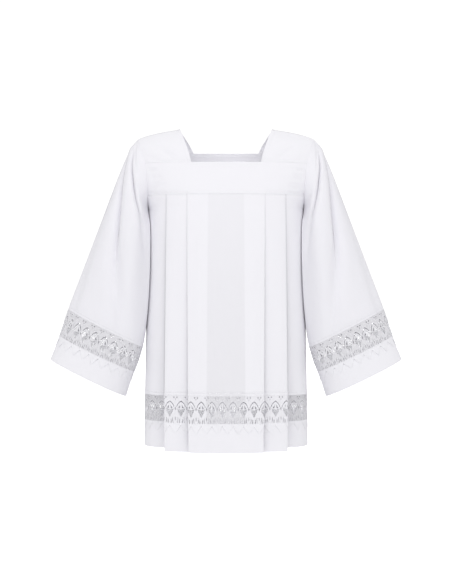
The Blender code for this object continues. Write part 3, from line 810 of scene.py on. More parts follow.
def pleated_panel(node, side, material):
    """The front or back body, from the yoke seam to the lace. Its upper rows end on the armhole's edge."""
    cloth = bpy.context.scene.surplice_cloth
    seam_angle = math.acos((YOKE_SEAM - ARMHOLE_MIDDLE) / ARMHOLE_HALF_HEIGHT)
    heights = []
    for r in range(ARMHOLE_ROWS):
        angle = mix(seam_angle, math.pi, r / ARMHOLE_ROWS)
        heights.append(ARMHOLE_MIDDLE + ARMHOLE_HALF_HEIGHT * math.cos(angle))
    heights[0] -= SEAM_GAP / 2
    heights += [mix(UNDERARM, HEADING_TOP + SEAM_STITCHES_IN, r / PANEL_ROWS) for r in range(PANEL_ROWS + 1)]
    behind = (cloth.yoke_thickness + cloth.panel_thickness) / 2 + SEAM_GAP
    rows = [body_row(YOKE_SEAM + up, side, behind=behind) for up in (ALLOWANCE, SEAM_GAP)]
    rows += [body_row(height, side) for height in heights]
    rows.append(body_row(HEADING_TOP + SEAM_GAP, side))
    rows.append(body_row(HEADING_TOP - LAP, side, -cloth.panel_thickness))
    levels = []
    for height in (HEADING_TOP, HEADING_HOLES, mix(HEADING_HOLES, LACE_TOP, 0.5), LACE_TOP + SEAM_GAP / 2):
        levels.append((HEADING_TOP - height, body_row(height, side, cloth.heading_rise)))
    last = len(levels[0][1]) - 1
    strip = ClothStrip(levels, [(0, 0.0), (last, running_lengths(levels[0][1])[-1])])
    heading = pierced_strip(strip, HEADING_TOP - HEADING_HOLES)
    sheet_from_rows(node, rows, cloth.panel_thickness, material, extra=heading)


def hem_band(node, side, material):
    """The plain doubled band below the lace. It lies inside the lace's lower edge."""
    cloth = bpy.context.scene.surplice_cloth
    inward = -(cloth.lace_thickness + cloth.hem_thickness) / 2 - LACE_CLEARANCE
    lace_end = LACE_TOP - LACE_HEIGHT
    heights = [mix(HEM_TOP, lace_end, n / ROWS_BEHIND_LACE) for n in range(ROWS_BEHIND_LACE + 1)]
    heights += [mix(lace_end, HEM, n / ROWS_BELOW_LACE) for n in range(1, ROWS_BELOW_LACE + 1)]
    rows = []
    for height in heights:
        corner = HEM_CORNER_LIFT * smooth_step((lace_end - height) / (lace_end - HEM))
        rows.append(body_row(height, side, inward, corner))
    sheet_from_rows(node, rows, cloth.hem_thickness, material)


@functools.lru_cache(maxsize=None)
def folds_at(station):
    """(middle angle, depth, width) of each sleeve fold that crosses a station."""
    found = []
    for fold in SLEEVE_FOLDS:
        if fold[0].station < station < fold[-1].station:
            depth = max(0.0, column(fold, "station", "depth", station))
            middle = column(fold, "station", "angle", station)
            found.append((middle, depth, column(fold, "station", "width", station)))
    return found


def turn_from(middle, angle):
    """How far an angle lies from another, in degrees from -180 to 180."""
    return (angle - middle + 180) % 360 - 180


def fold_trough(station, angle):
    """How far the sleeve's folds push its surface in, at an angle in degrees."""
    pushed = 0.0
    for middle, depth, width in folds_at(station):
        pushed += depth * bump(turn_from(middle, angle), width)
    return pushed * bpy.context.scene.surplice_cloth.crease_strength


@functools.lru_cache(maxsize=None)
def sleeve_section(station):
    """(outer end, inner end, half depth) of the sleeve's oval section at a station."""
    values = []
    for name in Station._fields:
        values.append(read_table(list(range(len(SLEEVE))), [getattr(row, name) for row in SLEEVE], station))
    outer_x, outer_z, inner_x, inner_z, inner_y, depth = values
    return Vector((outer_x, 0.0, outer_z)), Vector((inner_x, inner_y, inner_z)), depth


def sleeve_oval(station, angle):
    """(the section's middle, its surface point) at an angle from the outer end over the front."""
    outer, inner, depth = sleeve_section(station)
    middle, half = (outer + inner) / 2, (outer - inner) / 2
    along = signed_power(math.cos(angle), 2 / SLEEVE_POWER)
    across = signed_power(math.sin(angle), 2 / SLEEVE_POWER)
    return middle, middle + half * along - Vector((0.0, depth * across, 0.0))


def sleeve_point(station, angle):
    """A point of the left sleeve's surface. Near the armhole it takes the armhole's shape."""
    middle, point = sleeve_oval(station, angle)
    point -= (point - middle).normalized() * fold_trough(station, math.degrees(angle))
    gap = mix(ARMHOLE_GAP_TOP, ARMHOLE_GAP_LOW, (1 - math.cos(angle)) / 2)
    seam = armhole_point(angle) + Vector((gap, 0.0, 0.0))
    blend = 1 - smooth_step(station / ARMHOLE_BLEND)
    point += (seam - sleeve_oval(0.0, angle)[1]) * blend
    leaning = bump(turn_from(LEAN_ANGLE, math.degrees(angle)), LEAN_WIDTH)
    flattened = bump(turn_from(FLAT_ANGLE, math.degrees(angle)), FLAT_WIDTH)
    point.x -= column(SLEEVE_LEAN, "station", "inward", station) * leaning
    point.y += column(SLEEVE_LEAN, "station", "back", station) * flattened
    if point.z < ARMHOLE_MIDDLE:
        clearance = mix(ARMHOLE_GAP_LOW, SLEEVE_CLEARANCE, smooth_step(station / ARMHOLE_BLEND))
        point.x = max(point.x, body_side_x(point.y, point.z) + clearance)
    return point


def sleeve_ring(station, hand, angles, inward=0.0):
    """Points round the sleeve at the given angles, for the wearer's left (hand +1) or right, moved in."""
    row = []
    step = math.pi / SLEEVE_COLUMNS
    for angle in angles:
        point = sleeve_point(station, angle)
        if inward:
            round_it = sleeve_point(station, angle + step) - sleeve_point(station, angle - step)
            down_it = sleeve_point(station + DOWN_STEP, angle) - sleeve_point(station - DOWN_STEP, angle)
            normal = round_it.cross(down_it).normalized()
            outward = point - sleeve_oval(station, 0.0)[0]
            point = point - normal * math.copysign(inward, normal.dot(outward))
        row.append(Vector((hand * point.x, point.y, point.z)))
    return row


def whole_turn():
    return [2 * math.pi * c / SLEEVE_COLUMNS for c in range(SLEEVE_COLUMNS)]


def seam_allowance(hand):
    """The ring of the sleeve's upper edge, turned in behind the armhole's edge."""
    row = []
    for point in sleeve_ring(0.0, hand, whole_turn()):
        z = mix(ARMHOLE_MIDDLE, point.z, ALLOWANCE_SHARE)
        row.append(Vector((point.x - hand * ALLOWANCE, point.y * ALLOWANCE_SHARE, z)))
    return row


def sleeve(node, hand, material):
    """A sleeve from its armhole to its lace, with a pierced heading above the lace."""
    cloth = bpy.context.scene.surplice_cloth
    last = SLEEVE_LACE_TOP - SLEEVE_SEAM_STATIONS
    top, holes = SLEEVE_LACE_TOP - SLEEVE_HEADING_STATIONS, SLEEVE_LACE_TOP - SLEEVE_HOLE_STATIONS
    stations = [n * SLEEVE_STATION_STEP for n in range(int(top / SLEEVE_STATION_STEP))]
    stations.append(top - SLEEVE_LAST_ROW_UP)
    rows = [seam_allowance(hand)] + [sleeve_ring(station, hand, whole_turn()) for station in stations]
    turned_in = mix(top, holes, HEADING_TURN_SHARE)
    rows.append(sleeve_ring(turned_in, hand, whole_turn(), cloth.panel_thickness))
    angles = tube_angles()
    levels, down = [], 0.0
    for station in (top, holes, mix(holes, last, 0.5), last):
        ring = sleeve_ring(station, hand, angles, -cloth.heading_rise)
        if levels:
            down += (ring[len(ring) // 4] - levels[-1][1][len(ring) // 4]).length
        levels.append((down, ring))
    strip = ClothStrip(levels, [(0, 0.0), (len(angles) - 1, running_lengths(levels[0][1])[-1])])
    heading = pierced_strip(strip, levels[1][0])
    sheet_from_rows(node, rows, cloth.panel_thickness, material, closed=True, extra=heading)


def tube_angles():
    """Angles all round a sleeve, from the seam at its inner edge over the back to the seam again."""
    half = SLEEVE_COLUMNS // 2
    angles = [math.pi * c / half for c in range(-half, half + 1)]
    angles[0] += TUBE_SEAM
    angles[-1] -= TUBE_SEAM
    return angles


def sleeve_hem(node, hand, material):
    """The plain doubled band at the sleeve's end, inside the lace's points."""
    cloth = bpy.context.scene.surplice_cloth
    inward = (cloth.lace_thickness + cloth.hem_thickness) / 2 + LACE_CLEARANCE
    stations = [mix(SLEEVE_HEM_TOP, SLEEVE_END, n / SLEEVE_HEM_ROWS) for n in range(SLEEVE_HEM_ROWS + 1)]
    rows = [sleeve_ring(station, hand, whole_turn(), inward) for station in stations]
    sheet_from_rows(node, rows, cloth.hem_thickness, material, closed=True)


class ClothStrip:
    """A strip of cloth on bands between rows of points: u runs along the top row, and v down from it."""

    def __init__(self, levels, marks):
        """levels lists (v, row), and marks lists (column, count of repeats) at the ends and folds."""
        self.levels = levels
        self.depths = [v for v, _ in levels]
        self.lengths = running_lengths(levels[0][1])
        self.marks = marks
        self.counts = [count for _, count in marks]
        self.first, self.last = self.counts[0], self.counts[-1]

    def place(self, count):
        """The length along the strip at a count of repeats."""
        i = min(max(bisect.bisect_right(self.counts, count) - 1, 0), len(self.marks) - 2)
        (low_column, low), (high_column, high) = self.marks[i], self.marks[i + 1]
        share = (count - low) / (high - low)
        return mix(self.lengths[low_column], self.lengths[high_column], share)

    def at(self, u, v, out=0.0):
        """The point in space at (u, v), moved out along the cloth's normal."""
        u = min(max(u, 0.0), self.lengths[-1])
        v = min(max(v, 0.0), self.depths[-1])
        c = min(bisect.bisect_right(self.lengths, u) - 1, len(self.lengths) - 2)
        r = min(bisect.bisect_right(self.depths, v) - 1, len(self.depths) - 2)
        share_u = (u - self.lengths[c]) / (self.lengths[c + 1] - self.lengths[c])
        share_v = (v - self.depths[r]) / (self.depths[r + 1] - self.depths[r])
        upper, lower = self.levels[r][1], self.levels[r + 1][1]
        above = upper[c].lerp(upper[c + 1], share_u)
        below = lower[c].lerp(lower[c + 1], share_u)
        point = above.lerp(below, share_v)
        if out:
            normal = (upper[c + 1] - upper[c]).cross(below - above).normalized()
            point = point + normal * out
        return point


def round_hole(middle_u, middle_v, radius):
    """A small round hole's outline, as six points."""
    angles = [math.radians(mix(0, 300, n / 5)) for n in range(6)]
    return [(middle_u + radius * math.sin(a), middle_v - radius * math.cos(a)) for a in angles]


def leaf_outline(tip, base, half, steps=5):
    """A slim leaf between two points, as a closed outline."""
    run = Vector(base) - Vector(tip)
    beside = Vector((run.y, -run.x)).normalized()
    middle_line = [Vector(tip) + run * n / steps for n in range(steps + 1)]
    swell = [half * math.sin(math.pi * n / steps) for n in range(steps + 1)]
    left = [tuple(p + beside * s) for p, s in zip(middle_line, swell)]
    right = [tuple(p - beside * s) for p, s in zip(middle_line[1:-1], swell[1:-1])]
    return left + right[::-1]


def mirrored(points):
    return [(-u, v) for u, v in points]


def both_halves(points):
    """A run over the middle, from its right half, which starts on the middle line."""
    return mirrored(points[1:])[::-1] + list(points)


# One repeat of the lace, in millimetres: u from the fan's middle or from the point between two fans, and v
# down from the lace's top edge
FAN_HALF = 12.75
ARCH_OUTER = ((0.0, 12.7), (2.7, 14.6), (5.6, 17.6), (8.2, 21.3), (9.8, 24.8), (10.3, 28.2))
ARCH_INNER = ((8.9, 27.8), (8.4, 25.3), (6.9, 22.2), (4.5, 19.0), (2.0, 16.6), (0.0, 15.1))
ARCH_RIM = ((0.0, 11.7), (3.1, 13.7), (6.3, 16.9), (9.1, 20.9), (10.8, 24.8), (11.2, 29.0))
MIDDLE_LOBE = ((0.0, 18.2), (0.0, 22.0), (0.0, 27.0), (0.0, 31.5), (0.0, 35.2))
MIDDLE_LOBE_WIDTHS = (0.3, 1.2, 1.6, 1.6, 0.5)
SIDE_LOBE = ((1.6, 18.8), (3.9, 21.3), (5.9, 24.2), (7.4, 27.0), (8.5, 30.2))
SIDE_LOBE_WIDTHS = (0.4, 1.3, 1.5, 1.3, 0.4)
GAP_EDGE = ((9.8, 32.0), (8.0, 38.2), (4.7, 44.8), (1.2, 51.2), (1.3, 58.0), (1.3, 66.4))
LEAF_SLIT = ((1.7, 22.0), (3.2, 25.2), (6.2, 29.6), (5.2, 30.8), (2.3, 30.8), (2.0, 27.0))
NET_GAP = ((-8.9, 31.8), (-5.0, 32.2), (-2.0, 33.6), (0.0, 35.2), (2.0, 33.6), (5.0, 32.2), (8.9, 31.8),
           (7.2, 38.0), (3.9, 44.5), (0.5, 51.0), (-0.5, 51.0), (-3.9, 44.5), (-7.2, 38.0))
NET_SLOPE = 52.0
STEM_SLIT = ((2.7, 58.0), (3.3, 55.4), (3.9, 58.5), (4.2, 62.0), (4.2, 66.4), (2.8, 66.4), (2.7, 62.0))
DOTS = ((-3.3, 4.4, 1.7), (3.5, 4.4, 1.7), (0.1, 9.2, 1.2))
SPOT = ((0.0, 27.4), (0.0, 36.4), 1.35)
DROP = ((0.0, 36.8), (2.5, 41.5), (4.7, 46.5), (6.4, 51.5),
        (7.5, 57.0), (7.2, 62.0), (5.2, 66.0), (0.0, 68.4))
DROP_SLIT = ((5.2, 51.5), (6.0, 53.5), (6.5, 57.5), (6.2, 61.5),
             (5.0, 65.8), (3.9, 66.2), (5.0, 61.0), (5.3, 56.5))
PETAL = ((0.0, 44.0), (1.9, 48.5), (3.1, 53.0), (3.4, 57.5), (2.4, 62.0), (0.0, 64.8))
PETAL_SLIT = ((0.0, 50.0), (0.0, 61.0), 0.8)
BAND_TOP = 2.2
TIP_INSET = 0.5
CHEVRON_MIDDLE = 0.52
CHEVRONS = ((9.6, 68.2, 75.4), (12.2, 71.5, 83.6))


def fan_openings(closer=False):
    """The holes round a fan: the slit under its arch, those in its leaf, the net gap and the slits by its
    stem. The closer lace of the back has no slits in its leaf and by its stem."""
    arch = both_halves(ARCH_OUTER) + both_halves(ARCH_INNER[::-1])[::-1]
    if closer:
        return [arch, list(NET_GAP)]
    slits = [list(LEAF_SLIT), mirrored(LEAF_SLIT), list(STEM_SLIT), mirrored(STEM_SLIT)]
    return [arch, list(NET_GAP), *slits]


def point_openings(closer=False):
    """The holes between two fans: three dots, a long spot, and the slits within the drop. The closer lace of
    the back has only the two outer slits."""
    if closer:
        return [list(DROP_SLIT), mirrored(DROP_SLIT)]
    dots = [round_hole(*dot) for dot in DOTS]
    return dots + [leaf_outline(*SPOT), list(DROP_SLIT), mirrored(DROP_SLIT), leaf_outline(*PETAL_SLIT)]


# A raised thread: its run, its half width (one for each point, or one for all) and its height over the lace
Cord = namedtuple("Cord", "points width height")


def fan_cords():
    """The raised threads of a fan: its leaf's lobes, the arch's rim, the net gap's edges and the stem."""
    return [
        Cord(MIDDLE_LOBE, MIDDLE_LOBE_WIDTHS, 0.6),
        Cord(SIDE_LOBE, SIDE_LOBE_WIDTHS, 0.6),
        Cord(mirrored(SIDE_LOBE), SIDE_LOBE_WIDTHS, 0.6),
        Cord(both_halves(ARCH_RIM), 0.7, 0.45),
        Cord(GAP_EDGE, 0.55, 0.45),
        Cord(mirrored(GAP_EDGE), 0.55, 0.45),
    ]


def point_cords():
    """The raised threads of the drop between two fans and of the chevrons below it."""
    cords = [
        Cord(both_halves(DROP), 0.62, 0.5),
        Cord(both_halves(PETAL), 0.55, 0.42),
        Cord([(-FAN_HALF, BAND_TOP), (0.0, BAND_TOP), (FAN_HALF, BAND_TOP)], 0.6, 0.3),
    ]
    tip, valley = LACE_HEIGHT / MM - TIP_INSET, (LACE_HEIGHT - LACE_POINT) / MM
    for half, top, low in (*CHEVRONS, (FAN_HALF, valley, tip)):
        right = ((0.0, low), (half / 2, mix(top, low, CHEVRON_MIDDLE)), (half, top))
        cords.append(Cord(both_halves(right), 0.6, 0.4))
    return cords


def net_threads(pitch):
    """The crossing threads of the fine net in a gap: straight runs clipped to the gap's outline."""
    runs = []
    slope = math.radians(NET_SLOPE)
    outline = list(NET_GAP)
    for turn in (-1, 1):
        direction = Vector((math.cos(slope), turn * math.sin(slope)))
        beside = Vector((-direction.y, direction.x))
        offsets = [Vector(p).dot(beside) for p in outline]
        number = math.ceil(min(offsets) / pitch - 0.5)
        while (number + 0.5) * pitch < max(offsets):
            offset, cuts = (number + 0.5) * pitch, []
            for a, b in zip(outline, outline[1:] + outline[:1]):
                side_a, side_b = Vector(a).dot(beside) - offset, Vector(b).dot(beside) - offset
                if (side_a > 0) != (side_b > 0):
                    cuts.append(Vector(a).lerp(Vector(b), side_a / (side_a - side_b)))
            cuts.sort(key=lambda p: p.dot(direction))
            runs += [(tuple(a), tuple(b)) for a, b in zip(cuts[::2], cuts[1::2])]
            number += 1
    return runs


def repeats_in(strip, offset):
    """The counts at which a motif stands in a strip: at whole counts, or at halves with an offset of 0.5."""
    first = math.floor(strip.first - offset) - 1
    last = math.ceil(strip.last - offset) + 1
    return [n + offset for n in range(first, last + 1)]


def placed(strip, count, points):
    """A motif's points at a count, in metres along and down the strip, or None where it leaves the strip."""
    repeat_mm = 2 * FAN_HALF
    found = []
    for u, v in points:
        here = count + u / repeat_mm
        if not strip.first < here < strip.last:
            return None
        found.append((strip.place(here), v * MM))
    return found


def lace_outline(strip):
    """The lace laid flat, with its points at half counts along the lower edge."""
    valley = LACE_HEIGHT - LACE_POINT

    def corner(count):
        share = abs(count % 1.0 - 0.5) * 2
        return strip.place(count), mix(LACE_HEIGHT, valley, share)

    low = math.ceil(strip.first * 2 + CORNER_MARGIN)
    high = math.floor(strip.last * 2 - CORNER_MARGIN)
    lower = [corner(count) for count in [strip.first, *(n / 2 for n in range(low, high + 1)), strip.last]]
    return [(0.0, 0.0), (strip.lengths[-1], 0.0), *reversed(lower)]


def flat_area(outline):
    """The area inside a flat outline, below 0 for one that runs the other way round."""
    total = 0.0
    for (ax, ay), (bx, by) in zip(outline, outline[1:] + outline[:1]):
        total += ax * by - bx * ay
    return total / 2


def cut_cloth(strip, outline, holes):
    """A flat outline with holes, cut along the strip's own lines and laid on its surface: points, faces and
    flat places."""
    flat_points, faces = [], []
    for shape in [outline, *holes]:
        shape = shape if flat_area(shape) > 0 else shape[::-1]
        faces.append(list(range(len(flat_points), len(flat_points) + len(shape))))
        flat_points += shape
    lowest = strip.depths[-1]
    lines = [[(s, 0.0), (s, lowest)] for s in strip.lengths[1:-1]]
    lines += [[(0.0, v), (strip.lengths[-1], v)] for v in strip.depths[1:-1]]
    edges = []
    for line in lines:
        edges.append((len(flat_points), len(flat_points) + 1))
        flat_points += line
    made = delaunay_2d_cdt([Vector(p) for p in flat_points], edges, faces, 0, CUT_TOLERANCE, True)
    corners, triangles, inside = made[0], made[2], made[5]
    kept = [triangle for triangle, within in zip(triangles, inside) if list(within) == [0]]
    used = sorted({i for triangle in kept for i in triangle})
    number = {i: n for n, i in enumerate(used)}
    points = [strip.at(*corners[i]) for i in used]
    places = [(corners[i].x, -corners[i].y) for i in used]
    return points, [tuple(number[i] for i in t) for t in kept], places


def pierced_strip(strip, hole_depth):
    """The folded band above the lace, with its row of hemstitch holes: points, faces, flat places, height."""
    sewing = bpy.context.scene.surplice_sewing
    length, height = strip.lengths[-1], strip.depths[-1]
    count = int(length / sewing.hole_pitch)
    radius = sewing.hole_size / 2
    holes = [round_hole((n + 0.5) * length / count, hole_depth, radius) for n in range(count)]
    outline = [(0.0, 0.0), (length, 0.0), (length, height), (0.0, height)]
    return (*cut_cloth(strip, outline, holes), height)


def lace_ground(name, strip, nodes, material, closer_to):
    """The lace's ground, with its holes cut through, on the strip's surface. Counts below closer_to lie at
    the back of the garment, where the lace is closer."""
    outline = lace_outline(strip)
    holes = []
    for offset, openings in ((0.0, fan_openings), (0.5, point_openings)):
        for count in repeats_in(strip, offset):
            motifs = openings(closer=count < closer_to)
            holes += [h for h in (placed(strip, count, motif) for motif in motifs) if h]
    points, faces, places = cut_cloth(strip, outline, holes)
    piece = link_mesh(name, points, faces, material)
    lay_flat_map(piece, places)
    give_wall(piece, bpy.context.scene.surplice_cloth.lace_thickness, even=False)
    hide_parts(*nodes)


class ThreadMesh:
    """Many short threads of four-sided section, gathered into one mesh."""

    def __init__(self):
        self.points, self.faces = [], []

    def add(self, rings):
        """A run through rings of four points, closed at its ends."""
        start = len(self.points)
        for ring in rings:
            self.points += ring
        for r in range(len(rings) - 1):
            for k in range(4):
                a, b = start + r * 4 + k, start + r * 4 + (k + 1) % 4
                self.faces.append((a, b, b + 4, a + 4))
        last = start + (len(rings) - 1) * 4
        self.faces.append((start + 3, start + 2, start + 1, start))
        self.faces.append((last, last + 1, last + 2, last + 3))

    def link(self, name, slot_name, material):
        piece = link_mesh(name, self.points, self.faces, material)
        return piece


def add_cord(threads, strip, path, widths, height):
    """A raised thread on both faces of the strip along a flat path in metres."""
    rings = []
    for i, (u, v) in enumerate(path):
        before, after = path[max(i - 1, 0)], path[min(i + 1, len(path) - 1)]
        run = Vector((after[0] - before[0], after[1] - before[1]))
        if run.length < NEARLY_NOTHING:
            continue
        beside = Vector((-run.y, run.x)).normalized() * widths[i]
        rings.append([strip.at(u + beside.x, v + beside.y), strip.at(u, v, height),
                      strip.at(u - beside.x, v - beside.y), strip.at(u, v, -height)])
    if len(rings) > 1:
        threads.add(rings)


def lace_cords(name, strip, material):
    """The raised threads and the net of a strip of lace."""
    lace = bpy.context.scene.surplice_lace
    threads = ThreadMesh()
    for offset, cords in ((0.0, fan_cords()), (0.5, point_cords())):
        for count in repeats_in(strip, offset):
            for cord in cords:
                widths = cord.width if isinstance(cord.width, tuple) else [cord.width] * len(cord.points)
                kept = [(placed(strip, count, [p]), w) for p, w in zip(cord.points, widths)]
                path = [p[0] for p, _ in kept if p]
                near = [w * MM * lace.cord_width for p, w in kept if p]
                if len(path) > 1:
                    add_cord(threads, strip, path, near, cord.height * MM * lace.cord_width)
    for count in repeats_in(strip, 0.0):
        for run in net_threads(lace.net_pitch / MM):
            path = placed(strip, count, run)
            if path:
                middle = tuple((a + b) / 2 for a, b in zip(*path))
                width = lace.net_thread / 2
                add_cord(threads, strip, [path[0], middle, path[1]], [width] * 3, width)
    return threads.link(name, "lace", material)


def make_lace(word, strip, nodes, ground, cord, closer_to):
    """The raised threads and the ground of one lace, on its strip."""
    cords = lace_cords("lace_" + word + "_cords", strip, cord)
    lace_ground("lace_" + word + "_ground", strip, nodes, ground, closer_to)


def body_lace(word, side, counts, materials):
    """The lace of the front or back, down to the points that lie on the hem band."""
    top = body_row(LACE_TOP - SEAM_GAP / 2, side)
    middle, folds = len(top) // 2, fold_columns()
    right = [(middle - c, count.right) for c, count in zip(folds, counts)]
    left = [(middle + c, count.left) for c, count in zip(folds, counts)]
    levels = [
        (0.0, top),
        ((LACE_TOP - HEM_TOP) / 2, body_row((LACE_TOP + HEM_TOP) / 2, side)),
        (LACE_TOP - HEM_TOP, body_row(HEM_TOP, side)),
        (LACE_HEIGHT, body_row(LACE_TOP - LACE_HEIGHT, side)),
    ]
    strip = ClothStrip(levels, sorted(right + left))
    closer_to = strip.first if side < 0 else strip.last
    make_lace(word, strip, ["lace_" + word], materials["ground"], materials["cord"], closer_to)


def sleeve_lace(word, hand, materials):
    """The tube of a sleeve's lace, with its seam below the arm and a fan at its outer edge."""
    top_middle = sleeve_oval(SLEEVE_LACE_TOP, math.pi / 2)[1]
    hem_middle = sleeve_oval(SLEEVE_HEM_TOP, math.pi / 2)[1]
    window = (hem_middle - top_middle).length
    band = (sleeve_oval(SLEEVE_END, math.pi / 2)[1] - hem_middle).length
    tip_station = SLEEVE_HEM_TOP + (LACE_HEIGHT - window) / band
    half = SLEEVE_COLUMNS // 2
    angles = tube_angles()
    levels = [
        (0.0, sleeve_ring(SLEEVE_LACE_TOP + SLEEVE_SEAM_STATIONS, hand, angles)),
        (window / 2, sleeve_ring((SLEEVE_LACE_TOP + SLEEVE_HEM_TOP) / 2, hand, angles)),
        (window, sleeve_ring(SLEEVE_HEM_TOP, hand, angles)),
        (LACE_HEIGHT, sleeve_ring(tip_station, hand, angles)),
    ]
    lengths = running_lengths(levels[0][1])
    back, front = lengths[half] / LACE_REPEAT, (lengths[-1] - lengths[half]) / LACE_REPEAT
    strip = ClothStrip(levels, [(0, -back), (half, 0.0), (2 * half, front)])
    nodes = ["sleeve_lace_" + word + "_front", "sleeve_lace_" + word + "_back"]
    make_lace("sleeve_" + word, strip, nodes, materials["sleeve ground"], materials["cord"], 0.0)


# A stitch's sections: where they stand along it, and their size against the thread's
STITCH_SECTIONS = ((-0.5, 0.35), (-0.3, 1.0), (0.3, 1.0), (0.5, 0.35))
NEARLY_UPRIGHT = 0.2


def add_stitches(threads, path):
    """Short dashes of thread along a path of points, each drawn down at its ends."""
    sewing = bpy.context.scene.surplice_sewing
    lengths = running_lengths(path)
    count = int(lengths[-1] / sewing.pitch)
    for n in range(count):
        middle = (n + 0.5) * sewing.pitch
        i = min(bisect.bisect_right(lengths, middle) - 1, len(path) - 2)
        run = path[i + 1] - path[i]
        if run.length < NEARLY_NOTHING:
            continue
        centre = path[i].lerp(path[i + 1], (middle - lengths[i]) / (lengths[i + 1] - lengths[i]))
        direction = run.normalized()
        side = direction.cross(Vector((0.0, 0.0, 1.0)))
        side = side.normalized() if side.length > NEARLY_UPRIGHT else Vector((1.0, 0.0, 0.0))
        up = side.cross(direction).normalized()
        rings = []
        for share, size in STITCH_SECTIONS:
            at = centre + direction * sewing.length * share
            r = sewing.thread / 2 * size
            rings.append([at + side * r, at + up * r, at - side * r, at - up * r])
        threads.add(rings)


def yoke_stitch_path(height, side, reach):
    """A level row of stitches on a yoke band, as far out to each side as reach says."""
    cloth = bpy.context.scene.surplice_cloth
    path = []
    end = section_angle(reach, height, side) if reach else section_end(height, side)
    for c in range(-STITCH_PATH_STEPS, STITCH_PATH_STEPS + 1):
        angle = end * c / STITCH_PATH_STEPS
        x = math.copysign(section_point(abs(angle), 0.0, height, side).x, angle)
        pressed = pressed_in(x) * (1 - smooth_step((height - YOKE_SEAM) / PRESS_HEIGHT))
        pushed = crease_depth(x, height, side) + pressed - cloth.yoke_thickness / 2 + cloth.groove_depth
        point = section_point(abs(angle), pushed, height, side)
        path.append(Vector((math.copysign(point.x, angle), point.y, height)))
    return path


def strap_stitch_path(points, hand):
    """A row of stitches on a strap through (along, across) places."""
    cloth = bpy.context.scene.surplice_cloth
    path = []
    for along, across in points:
        point, normal = strap_frame(along, across, hand)
        point = point + normal * (cloth.yoke_thickness / 2 - cloth.groove_depth)
        path.append(Vector((hand * point.x, point.y, point.z)))
    return path


def set_node(tree, kind, **values):
    """A new node with its properties and inputs set by name."""
    node = tree.nodes.new(kind)
    for key, value in values.items():
        if key.startswith("in_"):
            node.inputs[key[3:].replace("_", " ")].default_value = value
        else:
            setattr(node, key, value)
    return node


def new_group(name, inputs, outputs):
    """An empty node group with a Vector, the named inputs with their defaults, and the named outputs."""
    tree = bpy.data.node_groups.new(name, "ShaderNodeTree")
    tree.interface.new_socket("Vector", in_out="INPUT", socket_type="NodeSocketVector")
    for socket_name, default in inputs.items():
        socket = tree.interface.new_socket(socket_name, in_out="INPUT", socket_type="NodeSocketFloat")
        socket.default_value = default
    for socket_name in outputs:
        tree.interface.new_socket(socket_name, in_out="OUTPUT", socket_type="NodeSocketFloat")
    return tree, tree.nodes.new("NodeGroupInput"), tree.nodes.new("NodeGroupOutput")


def math_node(tree, operation, first, second=None):
    """A Math node on two values or sockets; returns its output."""
    node = tree.nodes.new("ShaderNodeMath")
    node.operation = operation
    for socket, value in zip(node.inputs, (first, second)):
        if isinstance(value, bpy.types.NodeSocket):
            tree.links.new(value, socket)
        elif value is not None:
            socket.default_value = value
    return node.outputs[0]


def held_between(tree, value, low=0.0):
    """A value kept between the low one and 1."""
    return math_node(tree, "MINIMUM", math_node(tree, "MAXIMUM", value, low), 1.0)


def split_vector(tree, vector):
    """A Separate XYZ node on a vector."""
    split = tree.nodes.new("ShaderNodeSeparateXYZ")
    tree.links.new(vector, split.inputs[0])
    return split


def add_relief(tree, shader, height, strength, distance):
    """Raises a material's surface by a height, through its Normal."""
    relief = set_node(tree, "ShaderNodeBump", in_Strength=strength, in_Distance=distance)
    tree.links.new(height, relief.inputs["Height"])
    tree.links.new(relief.outputs[0], shader.inputs["Normal"])


# The materials' fixed values: the softness of a layer's edge in the painted layer shade, where cloth counts
# as turned away for the painted edge shade, and the scale and tone of yarns and net
LAYER_SOFTNESS = 0.004
TURNED_FROM = 0.78
YARN_SCALE = 900.0
WEAVE_TONE = 0.02
WEAVE_BASE = 0.985
NET_STEEPNESS = 6.0
PER_MILLIMETRE = 1000.0
CORD_TWIST = 700.0
THREAD_TWIST = 1500.0


def weave_group():
    """Plain weave: warp and weft that pass over and under each other, with uneven yarns."""
    inputs = {"Threads per Metre": 1800.0, "Slub": 0.3}
    tree, given, made = new_group("plain_weave", inputs, ["Height", "Shade"])
    split = split_vector(tree, given.outputs["Vector"])
    turns = math_node(tree, "MULTIPLY", given.outputs["Threads per Metre"], math.pi)
    warp = math_node(tree, "SINE", math_node(tree, "MULTIPLY", split.outputs["X"], turns))
    weft = math_node(tree, "SINE", math_node(tree, "MULTIPLY", split.outputs["Y"], turns))
    over = math_node(tree, "MULTIPLY", warp, weft)
    yarns = set_node(tree, "ShaderNodeTexNoise", in_Scale=YARN_SCALE, in_Detail=2.0)
    tree.links.new(given.outputs["Vector"], yarns.inputs["Vector"])
    slub = math_node(tree, "MULTIPLY", yarns.outputs["Fac"], given.outputs["Slub"])
    height = math_node(tree, "ADD", math_node(tree, "MULTIPLY", over, 0.5), slub)
    tree.links.new(height, made.inputs["Height"])
    shade = math_node(tree, "ADD", math_node(tree, "MULTIPLY", height, WEAVE_TONE), WEAVE_BASE)
    tree.links.new(shade, made.inputs["Shade"])
    return tree


def mottle_group():
    """Slow changes of tone over cloth or thread, as of light wear and pressing."""
    tree, given, made = new_group("soft_mottle", {"Scale": 9.0, "Amount": 0.03}, ["Shade"])
    noise = set_node(tree, "ShaderNodeTexNoise", in_Detail=3.0, in_Roughness=0.5)
    tree.links.new(given.outputs["Vector"], noise.inputs["Vector"])
    tree.links.new(given.outputs["Scale"], noise.inputs["Scale"])
    centred = math_node(tree, "SUBTRACT", noise.outputs["Fac"], 0.5)
    spread = math_node(tree, "MULTIPLY", centred, given.outputs["Amount"])
    tree.links.new(math_node(tree, "ADD", spread, 1.0), made.inputs["Shade"])
    return tree


